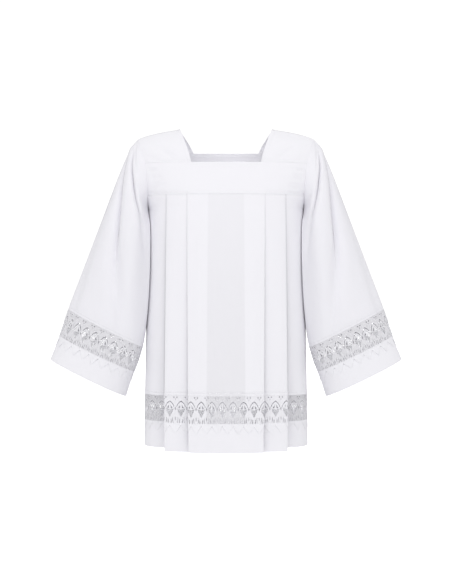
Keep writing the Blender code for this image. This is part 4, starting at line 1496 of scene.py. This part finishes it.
def painted_shade_masks_group():
    """Masks on the pleats' fold lines for the painted shade: where a panel is a single layer, between the
    inner folds and beyond the outer ones, and the strips just beside the first and the outer folds, where
    painted shadows lie."""
    inputs = {"Softness": LAYER_SOFTNESS}
    for name, pleat in zip(("First", "Inner", "Outer"), PLEATS):
        inputs[name + " at Yoke"] = pleat.yoke_x
        inputs[name + " at Hem"] = pleat.hem_x
    outputs = ["Single", "Outer", "Lower", "Beside First", "Beside Outer"]
    tree, given, made = new_group("single_layer", inputs, outputs)
    split = split_vector(tree, given.outputs["Vector"])
    across = math_node(tree, "ABSOLUTE", split.outputs["X"])
    fall = set_node(tree, "ShaderNodeMapRange")
    fall.inputs["From Min"].default_value = YOKE_SEAM
    fall.inputs["From Max"].default_value = HEM
    tree.links.new(split.outputs["Z"], fall.inputs["Value"])

    def edge(name):
        """How far a point lies beyond a fold's edge, which runs from the yoke to the hem."""
        at_yoke, at_hem = given.outputs[name + " at Yoke"], given.outputs[name + " at Hem"]
        line = math_node(tree, "MULTIPLY", math_node(tree, "SUBTRACT", at_hem, at_yoke), fall.outputs[0])
        line = math_node(tree, "ADD", line, at_yoke)
        return math_node(tree, "DIVIDE", math_node(tree, "SUBTRACT", across, line), given.outputs["Softness"])

    def beside(past):
        """1 just beyond a fold's edge, fading to 0 a short way out, and 0 on the fold's own side."""
        fading = math_node(tree, "SUBTRACT", 1.0, held_between(tree, past))
        fading = math_node(tree, "MULTIPLY", fading, fading)
        return math_node(tree, "MULTIPLY", fading, math_node(tree, "GREATER_THAN", past, 0.0))

    outer = edge("Outer")
    past_inner, past_outer = held_between(tree, edge("Inner")), held_between(tree, outer)
    tree.links.new(beside(edge("First")), made.inputs["Beside First"])
    tree.links.new(beside(outer), made.inputs["Beside Outer"])
    single = math_node(tree, "ADD", math_node(tree, "SUBTRACT", 1.0, past_inner), past_outer)
    tree.links.new(single, made.inputs["Single"])
    tree.links.new(past_outer, made.inputs["Outer"])
    tree.links.new(fall.outputs[0], made.inputs["Lower"])
    return tree


def net_group():
    """A fine net ground: rounded holes between threads, set in offset rows."""
    inputs = {"Holes per Metre": 900.0, "Hole Size": 0.5}
    tree, given, made = new_group("net_ground", inputs, ["Thread", "Height"])
    cells = set_node(tree, "ShaderNodeTexVoronoi", feature="F1", distance="EUCLIDEAN")
    cells.inputs["Randomness"].default_value = 0.35
    tree.links.new(given.outputs["Vector"], cells.inputs["Vector"])
    tree.links.new(given.outputs["Holes per Metre"], cells.inputs["Scale"])
    rim = math_node(tree, "SUBTRACT", cells.outputs["Distance"], given.outputs["Hole Size"])
    steep = math_node(tree, "MULTIPLY", rim, NET_STEEPNESS)
    tree.links.new(held_between(tree, steep), made.inputs["Thread"])
    tree.links.new(cells.outputs["Distance"], made.inputs["Height"])
    return tree


def add_group(tree, group, vector, **values):
    """A node of a group on a vector, with its inputs set by name."""
    node = tree.nodes.new("ShaderNodeGroup")
    node.node_tree = group
    tree.links.new(vector, node.inputs["Vector"])
    for key, value in values.items():
        node.inputs[key.replace("_", " ")].default_value = value
    return node


def shaded(tree, colour, *shades):
    """A colour times several shades; returns the last Mix node's colour."""
    out = None
    for shade in shades:
        node = tree.nodes.new("ShaderNodeMix")
        node.data_type = "RGBA"
        node.blend_type = "MULTIPLY"
        node.inputs["Factor"].default_value = 1.0
        if out is None:
            node.inputs["A"].default_value = colour
        else:
            tree.links.new(out, node.inputs["A"])
        tree.links.new(shade, node.inputs["B"])
        out = node.outputs["Result"]
    return out


def start_material(name, roughness, sheen):
    material = bpy.data.materials.new(name)
    material.use_nodes = True
    tree = material.node_tree
    shader = tree.nodes["Principled BSDF"]
    shader.inputs["Roughness"].default_value = roughness
    shader.inputs["Metallic"].default_value = 0.0
    shader.inputs["Sheen Weight"].default_value = sheen
    shader.inputs["Sheen Roughness"].default_value = 0.5
    shader.inputs["Specular IOR Level"].default_value = 0.2
    return material, tree, shader


def painted_grazing_shade(tree, strength):
    """Painted shade: darkens the cloth's colour only where it turns almost edge on, as a dark outline."""
    edge = tree.nodes.new("ShaderNodeLayerWeight")
    edge.inputs["Blend"].default_value = 0.5
    past = set_node(tree, "ShaderNodeMapRange")
    past.inputs["From Min"].default_value = TURNED_FROM
    past.inputs["From Max"].default_value = 1.0
    past.inputs["To Min"].default_value = 1.0
    past.inputs["To Max"].default_value = 1.0 - strength
    tree.links.new(edge.outputs["Facing"], past.inputs["Value"])
    return past.outputs[0]


def cotton_material(name, colour, groups, pleated=False):
    """White cotton, with its weave, slow mottling and painted shade where it turns almost edge on. On pleated
    pieces its middle single layer is darker by painted shade, more so towards the hem, with painted shadows
    beside the folds.
    """
    looks = bpy.context.scene.surplice_looks
    material, tree, shader = start_material(name, roughness=0.85, sheen=0.08)
    place = set_node(tree, "ShaderNodeUVMap", uv_map="cloth")
    coordinates = tree.nodes.new("ShaderNodeTexCoord")
    weave = add_group(tree, groups["weave"], place.outputs[0], Threads_per_Metre=looks.threads_per_metre)
    mottle = add_group(tree, groups["mottle"], coordinates.outputs["Object"], Scale=7.0, Amount=0.02)
    # The last shade is painted: a dark outline where the cloth turns almost edge on
    shades = [weave.outputs["Shade"], mottle.outputs["Shade"], painted_grazing_shade(tree, looks.painted_edge_shade)]
    if pleated:
        # Painted shade: the middle single layer, between the inner folds, darker as where the dark inside
        # shows through, and darker still towards the hem
        layers = add_group(tree, groups["layers"], coordinates.outputs["Object"])
        painted_lower_amount = math_node(tree, "MULTIPLY", layers.outputs["Lower"], looks.painted_lower_shade)
        middle = math_node(tree, "SUBTRACT", layers.outputs["Single"], layers.outputs["Outer"])
        drop = math_node(tree, "MULTIPLY", middle, math_node(tree, "ADD", painted_lower_amount, looks.painted_single_shade))
        shades.append(math_node(tree, "SUBTRACT", 1.0, drop))
        # Painted shadows in the strips just beside the first and the outer folds
        folds = {"Beside First": looks.painted_first_fold_shadow, "Beside Outer": looks.painted_outer_fold_shadow}
        for name, strength in folds.items():
            beside = math_node(tree, "MULTIPLY", layers.outputs[name], strength)
            shades.append(math_node(tree, "SUBTRACT", 1.0, beside))
    tree.links.new(shaded(tree, colour, *shades), shader.inputs["Base Color"])
    add_relief(tree, shader, weave.outputs["Height"], strength=0.35, distance=0.00012)
    return material


def lace_ground_material(name, colour, groups, pleated=False):
    """The lace's ground: close threads round fine holes. The holes carry painted shade: darker where no layer
    of cloth or lace lies behind them, and nearly white over the hem band."""
    looks = bpy.context.scene.surplice_looks
    material, tree, shader = start_material(name, roughness=0.8, sheen=0.05)
    place = set_node(tree, "ShaderNodeUVMap", uv_map="cloth")
    coordinates = tree.nodes.new("ShaderNodeTexCoord")
    net = add_group(tree, groups["net"], place.outputs[0], Holes_per_Metre=looks.net_holes_per_metre,
                    Hole_Size=looks.net_hole_size)
    mottle = add_group(tree, groups["mottle"], place.outputs[0], Scale=60.0, Amount=0.06)
    split = split_vector(tree, place.outputs[0])
    # Painted shade in the holes: full above the hem band's top edge, and only the hem share over the band
    depth = math_node(tree, "ADD", split.outputs["Y"], LACE_TOP - HEM_TOP)
    window = math_node(tree, "MULTIPLY", depth, PER_MILLIMETRE)
    window = held_between(tree, window, looks.hem_painted_hole_shade)
    # Painted shade: the holes darker over single layers and darker still beyond the outer folds; on the
    # sleeves by their own share
    if pleated:
        layers = add_group(tree, groups["layers"], coordinates.outputs["Object"])
        drop = math_node(tree, "MULTIPLY", layers.outputs["Single"], looks.single_painted_hole_shade)
        drop = math_node(tree, "ADD", drop, looks.painted_hole_shade)
        beyond = math_node(tree, "MULTIPLY", layers.outputs["Outer"], looks.side_painted_hole_shade)
        drop = math_node(tree, "ADD", drop, beyond)
    else:
        drop = math_node(tree, "ADD", looks.painted_hole_shade, looks.sleeve_painted_hole_shade)
    holes = math_node(tree, "SUBTRACT", 1.0, net.outputs["Thread"])
    darker = math_node(tree, "MULTIPLY", math_node(tree, "MULTIPLY", holes, drop), window)
    shade = math_node(tree, "SUBTRACT", 1.0, darker)
    tree.links.new(shaded(tree, colour, mottle.outputs["Shade"], shade), shader.inputs["Base Color"])
    add_relief(tree, shader, net.outputs["Height"], strength=0.3, distance=0.0002)
    return material


def thread_material(name, colour, twist_scale, groups):
    """White thread with the fine twist of its plies."""
    material, tree, shader = start_material(name, roughness=0.7, sheen=0.1)
    coordinates = tree.nodes.new("ShaderNodeTexCoord")
    twist = set_node(tree, "ShaderNodeTexWave", in_Scale=twist_scale, in_Distortion=1.5)
    twist.bands_direction = "DIAGONAL"
    mottle = add_group(tree, groups["mottle"], coordinates.outputs["Object"], Scale=120.0, Amount=0.06)
    tree.links.new(coordinates.outputs["Object"], twist.inputs["Vector"])
    tree.links.new(shaded(tree, colour, mottle.outputs["Shade"]), shader.inputs["Base Color"])
    add_relief(tree, shader, twist.outputs["Fac"], strength=0.4, distance=0.0001)
    return material


@functools.lru_cache(maxsize=None)
def finishes():
    """Every finish of the garment, by name."""
    looks = bpy.context.scene.surplice_looks
    groups = {"weave": weave_group(), "mottle": mottle_group(), "layers": painted_shade_masks_group(), "net": net_group()}
    return {
        "yoke": cotton_material("cotton_yoke", (*looks.cotton, 1.0), groups),
        "panel": cotton_material("cotton_panel", (*looks.cotton, 1.0), groups, pleated=True),
        "sleeve": cotton_material("cotton_sleeve", (*looks.sleeve, 1.0), groups),
        "ground": lace_ground_material("lace_ground", (*looks.lace, 1.0), groups, pleated=True),
        "sleeve ground": lace_ground_material("sleeve_lace_ground", (*looks.lace, 1.0), groups),
        "cord": thread_material("lace_cord", (*looks.cord, 1.0), CORD_TWIST, groups),
        "thread": thread_material("sewing_thread", (*looks.cord, 1.0), THREAD_TWIST, groups),
    }


def number(name, words, default, low, high, **more):
    """A setting that the panel shows."""
    return bpy.props.FloatProperty(name=name, description=words, default=default, min=low, max=high, **more)


def small_length(name, words, default, low, high, precision=4):
    return number(name, words, default, low, high, precision=precision, unit="LENGTH")


def share_of(name, words, default, low=0.0, high=1.0):
    return number(name, words, default, low, high, subtype="FACTOR")


def tint(name, words, default):
    return bpy.props.FloatVectorProperty(
        name=name, description=words, default=default, size=3, min=0.0, max=1.0, subtype="COLOR")


class SurpliceCloth(bpy.types.PropertyGroup):
    """Thicknesses and relief of the cloth pieces."""

    panel_thickness: small_length(
        "Panel Thickness", "Wall of the body panels and sleeves", 0.0005, 0.0003, 0.002)
    yoke_thickness: small_length("Yoke Thickness", "Wall of the doubled yoke", 0.0013, 0.0005, 0.003)
    hem_thickness: small_length("Hem Thickness", "Wall of the doubled hem bands", 0.0013, 0.0005, 0.003)
    lace_thickness: small_length("Lace Thickness", "Wall of the lace's ground", 0.0006, 0.0003, 0.002)
    heading_rise: small_length(
        "Heading Rise", "How far the folded edge above the lace stands out", 0.0004, 0.0, 0.002)
    groove_depth: small_length(
        "Stitch Groove Depth", "How deep a row of stitches is drawn into the cloth", 0.0004, 0.0, 0.002)
    groove_width: small_length(
        "Stitch Groove Width", "Half the width of the dent along a row of stitches", 0.0010, 0.0003, 0.004)
    crease_strength: share_of(
        "Crease Strength", "How strongly the creases and sleeve folds show", 1.0, 0.0, 2.0)


class SurpliceLace(bpy.types.PropertyGroup):
    """Threads of the lace."""

    cord_width: share_of(
        "Cord Width", "Width of the raised threads, against their usual width", 1.0, 0.5, 1.8)
    net_pitch: small_length(
        "Net Pitch", "Distance between the threads of the net in the lace's gaps", 0.0022, 0.001, 0.006)
    net_thread: small_length("Net Thread", "Thickness of the net's threads", 0.0008, 0.0002, 0.001)


class SurpliceSewing(bpy.types.PropertyGroup):
    """Rows of machine stitches."""

    pitch: small_length("Stitch Pitch", "Distance from one stitch to the next", 0.0026, 0.001, 0.008)
    length: small_length(
        "Stitch Length", "Length of the thread that shows in one stitch", 0.0019, 0.0005, 0.006)
    thread: small_length(
        "Sewing Thread", "Thickness of the sewing thread", 0.00045, 0.0002, 0.001, precision=5)
    hole_pitch: small_length(
        "Hemstitch Pitch", "Distance between the holes of the hemstitch above the lace",
        0.00275, 0.0015, 0.008, precision=5)
    hole_size: small_length(
        "Hemstitch Hole", "Width of the holes of the hemstitch above the lace",
        0.0011, 0.0005, 0.003, precision=5)


class SurpliceLooks(bpy.types.PropertyGroup):
    """Colours, finishes and painted shade."""

    cotton: tint("Cotton", "Colour of the yoke and the body panels", (0.900, 0.893, 0.930))
    # The sleeves' cotton is the body's cotton a little darker: painted shade of their single layer over the
    # dark inside
    sleeve: tint("Sleeve Cotton", "Colour of the sleeves' single layer", (0.882, 0.875, 0.915))
    lace: tint("Lace", "Colour of the lace's ground", (0.895, 0.888, 0.925))
    cord: tint("Thread", "Colour of the raised threads and the stitches", (0.93, 0.93, 0.96))
    threads_per_metre: number(
        "Threads per Metre", "Threads of the cotton's weave in each metre", 2400.0, 500.0, 6000.0)
    # Painted shade of the pleated panels: their middle single layer, more towards the hem, and the painted
    # shadows beside the first and outer folds
    painted_single_shade: share_of(
        "Single Layer Shade", "How much darker a single layer of cloth looks than three", 0.035, 0.0, 0.3)
    painted_lower_shade: share_of(
        "Lower Shade", "How much darker still a single layer looks at the hem", 0.045, 0.0, 0.3)
    painted_first_fold_shadow: share_of(
        "First Fold Shade", "How much darker the cloth is just beside the first folds", 0.10, 0.0, 0.6)
    painted_outer_fold_shadow: share_of(
        "Outer Fold Shade", "How much darker the cloth is just beside the outer folds", 0.22, 0.0, 0.6)
    # Painted shade: a dark outline where the cloth turns almost edge on
    painted_edge_shade: share_of("Edge Shade", "How much darker cloth looks where it turns almost edge on", 0.45)
    net_holes_per_metre: number(
        "Net Holes per Metre", "Fine holes of the lace's ground in each metre", 850.0, 200.0, 3000.0)
    net_hole_size: share_of("Net Hole Size", "Size of the fine holes, against their spacing", 0.34, 0.0, 0.9)
    # Painted shade in the lace's fine holes, for the layers or the dark inside behind them, and its share
    # left over the hem band
    painted_hole_shade: share_of("Hole Shade", "How dark the fine holes look over other layers of the pleats", 0.12)
    single_painted_hole_shade: share_of(
        "Single Hole Shade", "How much darker the holes look with no layer behind", 0.30)
    side_painted_hole_shade: share_of(
        "Side Hole Shade", "How much darker still the holes look beyond the pleats", 0.22)
    sleeve_painted_hole_shade: share_of("Sleeve Hole Shade", "How much darker the holes look on the sleeves", 0.29)
    hem_painted_hole_shade: share_of(
        "Hem Hole Shade", "Share of the holes' darkness left where the hem lies behind", 0.12)


class SurpliceStage(bpy.types.PropertyGroup):
    """Camera, floor and light."""

    camera_distance: number(
        "Camera Distance", "From the camera to the garment's middle plane", 2.8, 1.0, 10.0, unit="LENGTH")
    camera_height: number(
        "Camera Height", "Height of the camera against the shoulders", -0.404, -2.0, 2.0, unit="LENGTH")
    focal_length: number("Focal Length", "Lens of the camera", 69.04, 20.0, 200.0, unit="CAMERA")
    floor_height: number(
        "Floor Height", "Height of the floor below the hem", -1.25, -3.0, -0.8, unit="LENGTH")
    front_light: number(
        "Front and Back Light", "Strength of the soft light from the front and back", 0.71, 0.0, 4.0)
    side_light: number("Side Light", "Strength of the soft light from the sides", 0.70, 0.0, 4.0)
    top_light: number(
        "Top Light", "How much stronger the light is from above than from below", 0.18, 0.0, 1.0)
    key_light: number("Softboxes", "Power of each large softbox", 15.5, 0.0, 200.0, unit="POWER")
    inside_light: number(
        "Light Inside", "Power of each small lamp inside the empty garment", 0.15, 0.0, 10.0, unit="POWER")


# The studio: what the softboxes aim at, the white that the camera sees, its film, the floor and the lights
AIM = (0.0, 0.0, -0.4)
SHOWN_WHITE = 1.05
SENSOR_WIDTH = 36.0
FLOOR_HALF = 30.0
FLOOR_COLOUR = (0.85, 0.85, 0.86, 1.0)
Softbox = namedtuple("Softbox", "name place width height share")
SOFTBOXES = table_of(
    Softbox,
    ("softbox_left", (-1.2, -2.8, 1.2), 2.0, 1.6, 1.0),
    ("softbox_right", (1.1, -2.9, 1.2), 2.0, 1.6, 1.0),
    ("softbox_back", (0.3, 3.0, 1.2), 2.6, 1.6, 1.8),
)
INSIDE_LAMPS = {"lamp_chest": (0.0, -0.005, -0.17), "lamp_skirt": (0.0, -0.005, -0.55)}
INSIDE_LAMP_RADIUS = 0.04


class SurpliceOperator(bpy.types.Operator):
    bl_options = {"REGISTER", "UNDO"}


class SURPLICE_OT_yoke(SurpliceOperator):
    """Make the yoke: its front and back bands and the two straps"""

    bl_idname = "surplice.yoke"
    bl_label = "Yoke"

    def execute(self, context):
        cotton = finishes()["yoke"]
        yoke_band("yoke_front", -1, cotton)
        yoke_band("yoke_back", 1, cotton)
        shoulder_strap("strap_left", 1, cotton)
        shoulder_strap("strap_right", -1, cotton)
        return {"FINISHED"}


class SURPLICE_OT_panels(SurpliceOperator):
    """Make the pleated front and back"""

    bl_idname = "surplice.panels"
    bl_label = "Pleated Panels"

    def execute(self, context):
        pleated_panel("panel_front", -1, finishes()["panel"])
        pleated_panel("panel_back", 1, finishes()["panel"])
        return {"FINISHED"}


class SURPLICE_OT_hems(SurpliceOperator):
    """Make the plain bands below the lace of the front and back"""

    bl_idname = "surplice.hems"
    bl_label = "Hem Bands"

    def execute(self, context):
        hem_band("hem_front", -1, finishes()["yoke"])
        hem_band("hem_back", 1, finishes()["yoke"])
        return {"FINISHED"}


class SURPLICE_OT_sleeves(SurpliceOperator):
    """Make the two sleeves and the bands at their ends"""

    bl_idname = "surplice.sleeves"
    bl_label = "Sleeves"

    def execute(self, context):
        for word, hand in (("left", 1), ("right", -1)):
            sleeve("sleeve_" + word, hand, finishes()["sleeve"])
            sleeve_hem("sleeve_hem_" + word, hand, finishes()["yoke"])
        return {"FINISHED"}


class SURPLICE_OT_body_lace(SurpliceOperator):
    """Make the lace of the front and back"""

    bl_idname = "surplice.body_lace"
    bl_label = "Body Lace"

    def execute(self, context):
        body_lace("front", -1, FRONT_COUNTS, finishes())
        body_lace("back", 1, BACK_COUNTS, finishes())
        return {"FINISHED"}


class SURPLICE_OT_sleeve_lace(SurpliceOperator):
    """Make the lace of the two sleeves"""

    bl_idname = "surplice.sleeve_lace"
    bl_label = "Sleeve Lace"

    def execute(self, context):
        sleeve_lace("left", 1, finishes())
        sleeve_lace("right", -1, finishes())
        return {"FINISHED"}


class SURPLICE_OT_stitching(SurpliceOperator):
    """Sew the rows of stitches on the yoke, above the laces and on the hems"""

    bl_idname = "surplice.stitching"
    bl_label = "Stitching"

    def execute(self, context):
        cloth = context.scene.surplice_cloth
        yoke = ThreadMesh()
        for side in (-1, 1):
            neck_row = NECK_EDGE[side] - NECK_STITCHES_IN
            add_stitches(yoke, yoke_stitch_path(neck_row, side, NECK_CORNER[side] + NECK_STITCHES_IN))
            add_stitches(yoke, yoke_stitch_path(YOKE_SEAM + SEAM_STITCHES_IN, side, 0.0))
        steps = range(STITCH_PATH_STEPS + 1)
        shares = [mix(STITCH_END_SHARE, 1 - STITCH_END_SHARE, n / STITCH_PATH_STEPS) for n in steps]
        across = NECK_STITCHES_IN / strap_width()
        for hand in (1, -1):
            add_stitches(yoke, strap_stitch_path([(share, across) for share in shares], hand))
            for along in (STRAP_SEAM_SHARE, 1 - STRAP_SEAM_SHARE):
                add_stitches(yoke, strap_stitch_path([(along, share) for share in shares], hand))
        yoke.link("stitches_yoke", "cotton", finishes()["thread"])
        body = ThreadMesh()
        on_face = cloth.panel_thickness / 2 + cloth.heading_rise
        on_hem = cloth.lace_thickness / 2
        for side in (-1, 1):
            add_stitches(body, body_row(LACE_TOP + SEAM_STITCHES_IN / 2, side, on_face))
            add_stitches(body, body_row(HEM_TOP - SEAM_STITCHES_IN, side, on_hem))
        body.link("stitches_body", "cotton", finishes()["thread"])
        sleeves = ThreadMesh()
        turn = whole_turn() + [2 * math.pi]
        for hand in (1, -1):
            add_stitches(sleeves, sleeve_ring(SLEEVE_LACE_TOP - SLEEVE_STITCH_STATIONS, hand, turn, -on_face))
            add_stitches(sleeves, sleeve_ring(SLEEVE_HEM_TOP + SLEEVE_STITCH_STATIONS, hand, turn, -on_hem))
        sleeves.link("stitches_sleeves", "cotton", finishes()["thread"])
        return {"FINISHED"}


class SURPLICE_OT_stage(SurpliceOperator):
    """Set up the camera, the pale floor and the soft studio light"""

    bl_idname = "surplice.stage"
    bl_label = "Stage"

    def execute(self, context):
        stage = context.scene.surplice_stage
        self.add_camera(context, stage)
        self.add_floor(context, stage)
        self.add_softboxes(context, stage)
        self.light_room(context, stage)
        context.scene.view_settings.view_transform = "Standard"
        return {"FINISHED"}

    def add_camera(self, context, stage):
        data = bpy.data.cameras.new("camera")
        data.lens = stage.focal_length
        data.sensor_width = SENSOR_WIDTH
        camera = bpy.data.objects.new("camera", data)
        camera.location = (0.0, -stage.camera_distance, stage.camera_height)
        camera.rotation_euler = (math.pi / 2, 0.0, 0.0)
        context.scene.collection.objects.link(camera)
        context.scene.camera = camera

    def add_floor(self, context, stage):
        """A wide white floor, which shows to the camera as plain white."""
        mesh = bpy.data.meshes.new("floor")
        shape = bmesh.new()
        bmesh.ops.create_grid(shape, x_segments=1, y_segments=1, size=FLOOR_HALF)
        shape.to_mesh(mesh)
        shape.free()
        floor = bpy.data.objects.new("floor", mesh)
        floor.location = (0.0, 0.0, stage.floor_height)
        context.scene.collection.objects.link(floor)
        material, tree, shader = start_material("pale_floor", roughness=0.9, sheen=0.0)
        shader.inputs["Base Color"].default_value = FLOOR_COLOUR
        shader.inputs["Emission Strength"].default_value = SHOWN_WHITE
        seen = tree.nodes.new("ShaderNodeLightPath")
        glow = tree.nodes.new("ShaderNodeCombineColor")
        for socket in glow.inputs[:3]:
            tree.links.new(seen.outputs["Is Camera Ray"], socket)
        tree.links.new(glow.outputs[0], shader.inputs["Emission Color"])
        mesh.materials.append(material)

    def add_softboxes(self, context, stage):
        for box in SOFTBOXES:
            light = self.add_light(context, box.name, "AREA", box.place, stage.key_light * box.share)
            light.data.shape = "RECTANGLE"
            light.data.size, light.data.size_y = box.width, box.height
            aim = Vector(AIM) - light.location
            light.rotation_euler = aim.to_track_quat("-Z", "Y").to_euler()
        for name, place in INSIDE_LAMPS.items():
            lamp = self.add_light(context, name, "POINT", place, stage.inside_light)
            lamp.data.shadow_soft_size = INSIDE_LAMP_RADIUS

    def add_light(self, context, name, kind, place, power):
        """A light that the camera doesn't see."""
        data = bpy.data.lights.new(name, kind)
        data.energy = power
        light = bpy.data.objects.new(name, data)
        light.location = place
        light.visible_camera = False
        context.scene.collection.objects.link(light)
        return light

    def light_room(self, context, stage):
        """White to the camera. The garment is lit softly, most from the front and back and from above."""
        world = bpy.data.worlds.new("studio")
        context.scene.world = world
        world.use_nodes = True
        tree = world.node_tree
        background = tree.nodes["Background"]
        seen = tree.nodes.new("ShaderNodeLightPath")
        direction = tree.nodes.new("ShaderNodeTexCoord")
        split = split_vector(tree, direction.outputs["Generated"])
        facing = math_node(tree, "MULTIPLY", split.outputs["Y"], split.outputs["Y"])
        level = math_node(tree, "MULTIPLY", facing, stage.front_light - stage.side_light)
        level = math_node(tree, "ADD", level, stage.side_light)
        from_above = math_node(tree, "MULTIPLY", split.outputs["Z"], stage.top_light)
        level = math_node(tree, "ADD", level, from_above)
        shown = math_node(tree, "SUBTRACT", SHOWN_WHITE, level)
        shown = math_node(tree, "MULTIPLY", shown, seen.outputs["Is Camera Ray"])
        tree.links.new(math_node(tree, "ADD", level, shown), background.inputs["Strength"])
        background.inputs["Color"].default_value = (1.0, 1.0, 1.0, 1.0)


class SURPLICE_PT_panel(bpy.types.Panel):
    """The steps that make the garment, in order"""

    bl_idname = "SURPLICE_PT_panel"
    bl_label = "Surplice"
    bl_space_type = "VIEW_3D"
    bl_region_type = "UI"
    bl_category = "Surplice"

    def draw(self, context):
        scene = context.scene
        for name in SETTINGS:
            settings = getattr(scene, name)
            box = self.layout.box()
            for key in settings.__annotations__:
                box.prop(settings, key)
        for step in STEPS:
            self.layout.operator(step.bl_idname)


SETTINGS = {
    "surplice_cloth": SurpliceCloth,
    "surplice_lace": SurpliceLace,
    "surplice_sewing": SurpliceSewing,
    "surplice_looks": SurpliceLooks,
    "surplice_stage": SurpliceStage,
}
STEPS = (
    SURPLICE_OT_yoke,
    SURPLICE_OT_panels,
    SURPLICE_OT_hems,
    SURPLICE_OT_sleeves,
    SURPLICE_OT_body_lace,
    SURPLICE_OT_sleeve_lace,
    SURPLICE_OT_stitching,
    SURPLICE_OT_stage,
)


def register():
    for kind in (*SETTINGS.values(), *STEPS, SURPLICE_PT_panel):
        bpy.utils.register_class(kind)
    for name, kind in SETTINGS.items():
        setattr(bpy.types.Scene, name, bpy.props.PointerProperty(type=kind))


def unregister():
    for name in SETTINGS:
        delattr(bpy.types.Scene, name)
    for kind in reversed((*SETTINGS.values(), *STEPS, SURPLICE_PT_panel)):
        bpy.utils.unregister_class(kind)


def main():
    register()
    for step in STEPS:
        group, name = step.bl_idname.split(".")
        getattr(getattr(bpy.ops, group), name)()


if __name__ == "__main__":
    main()
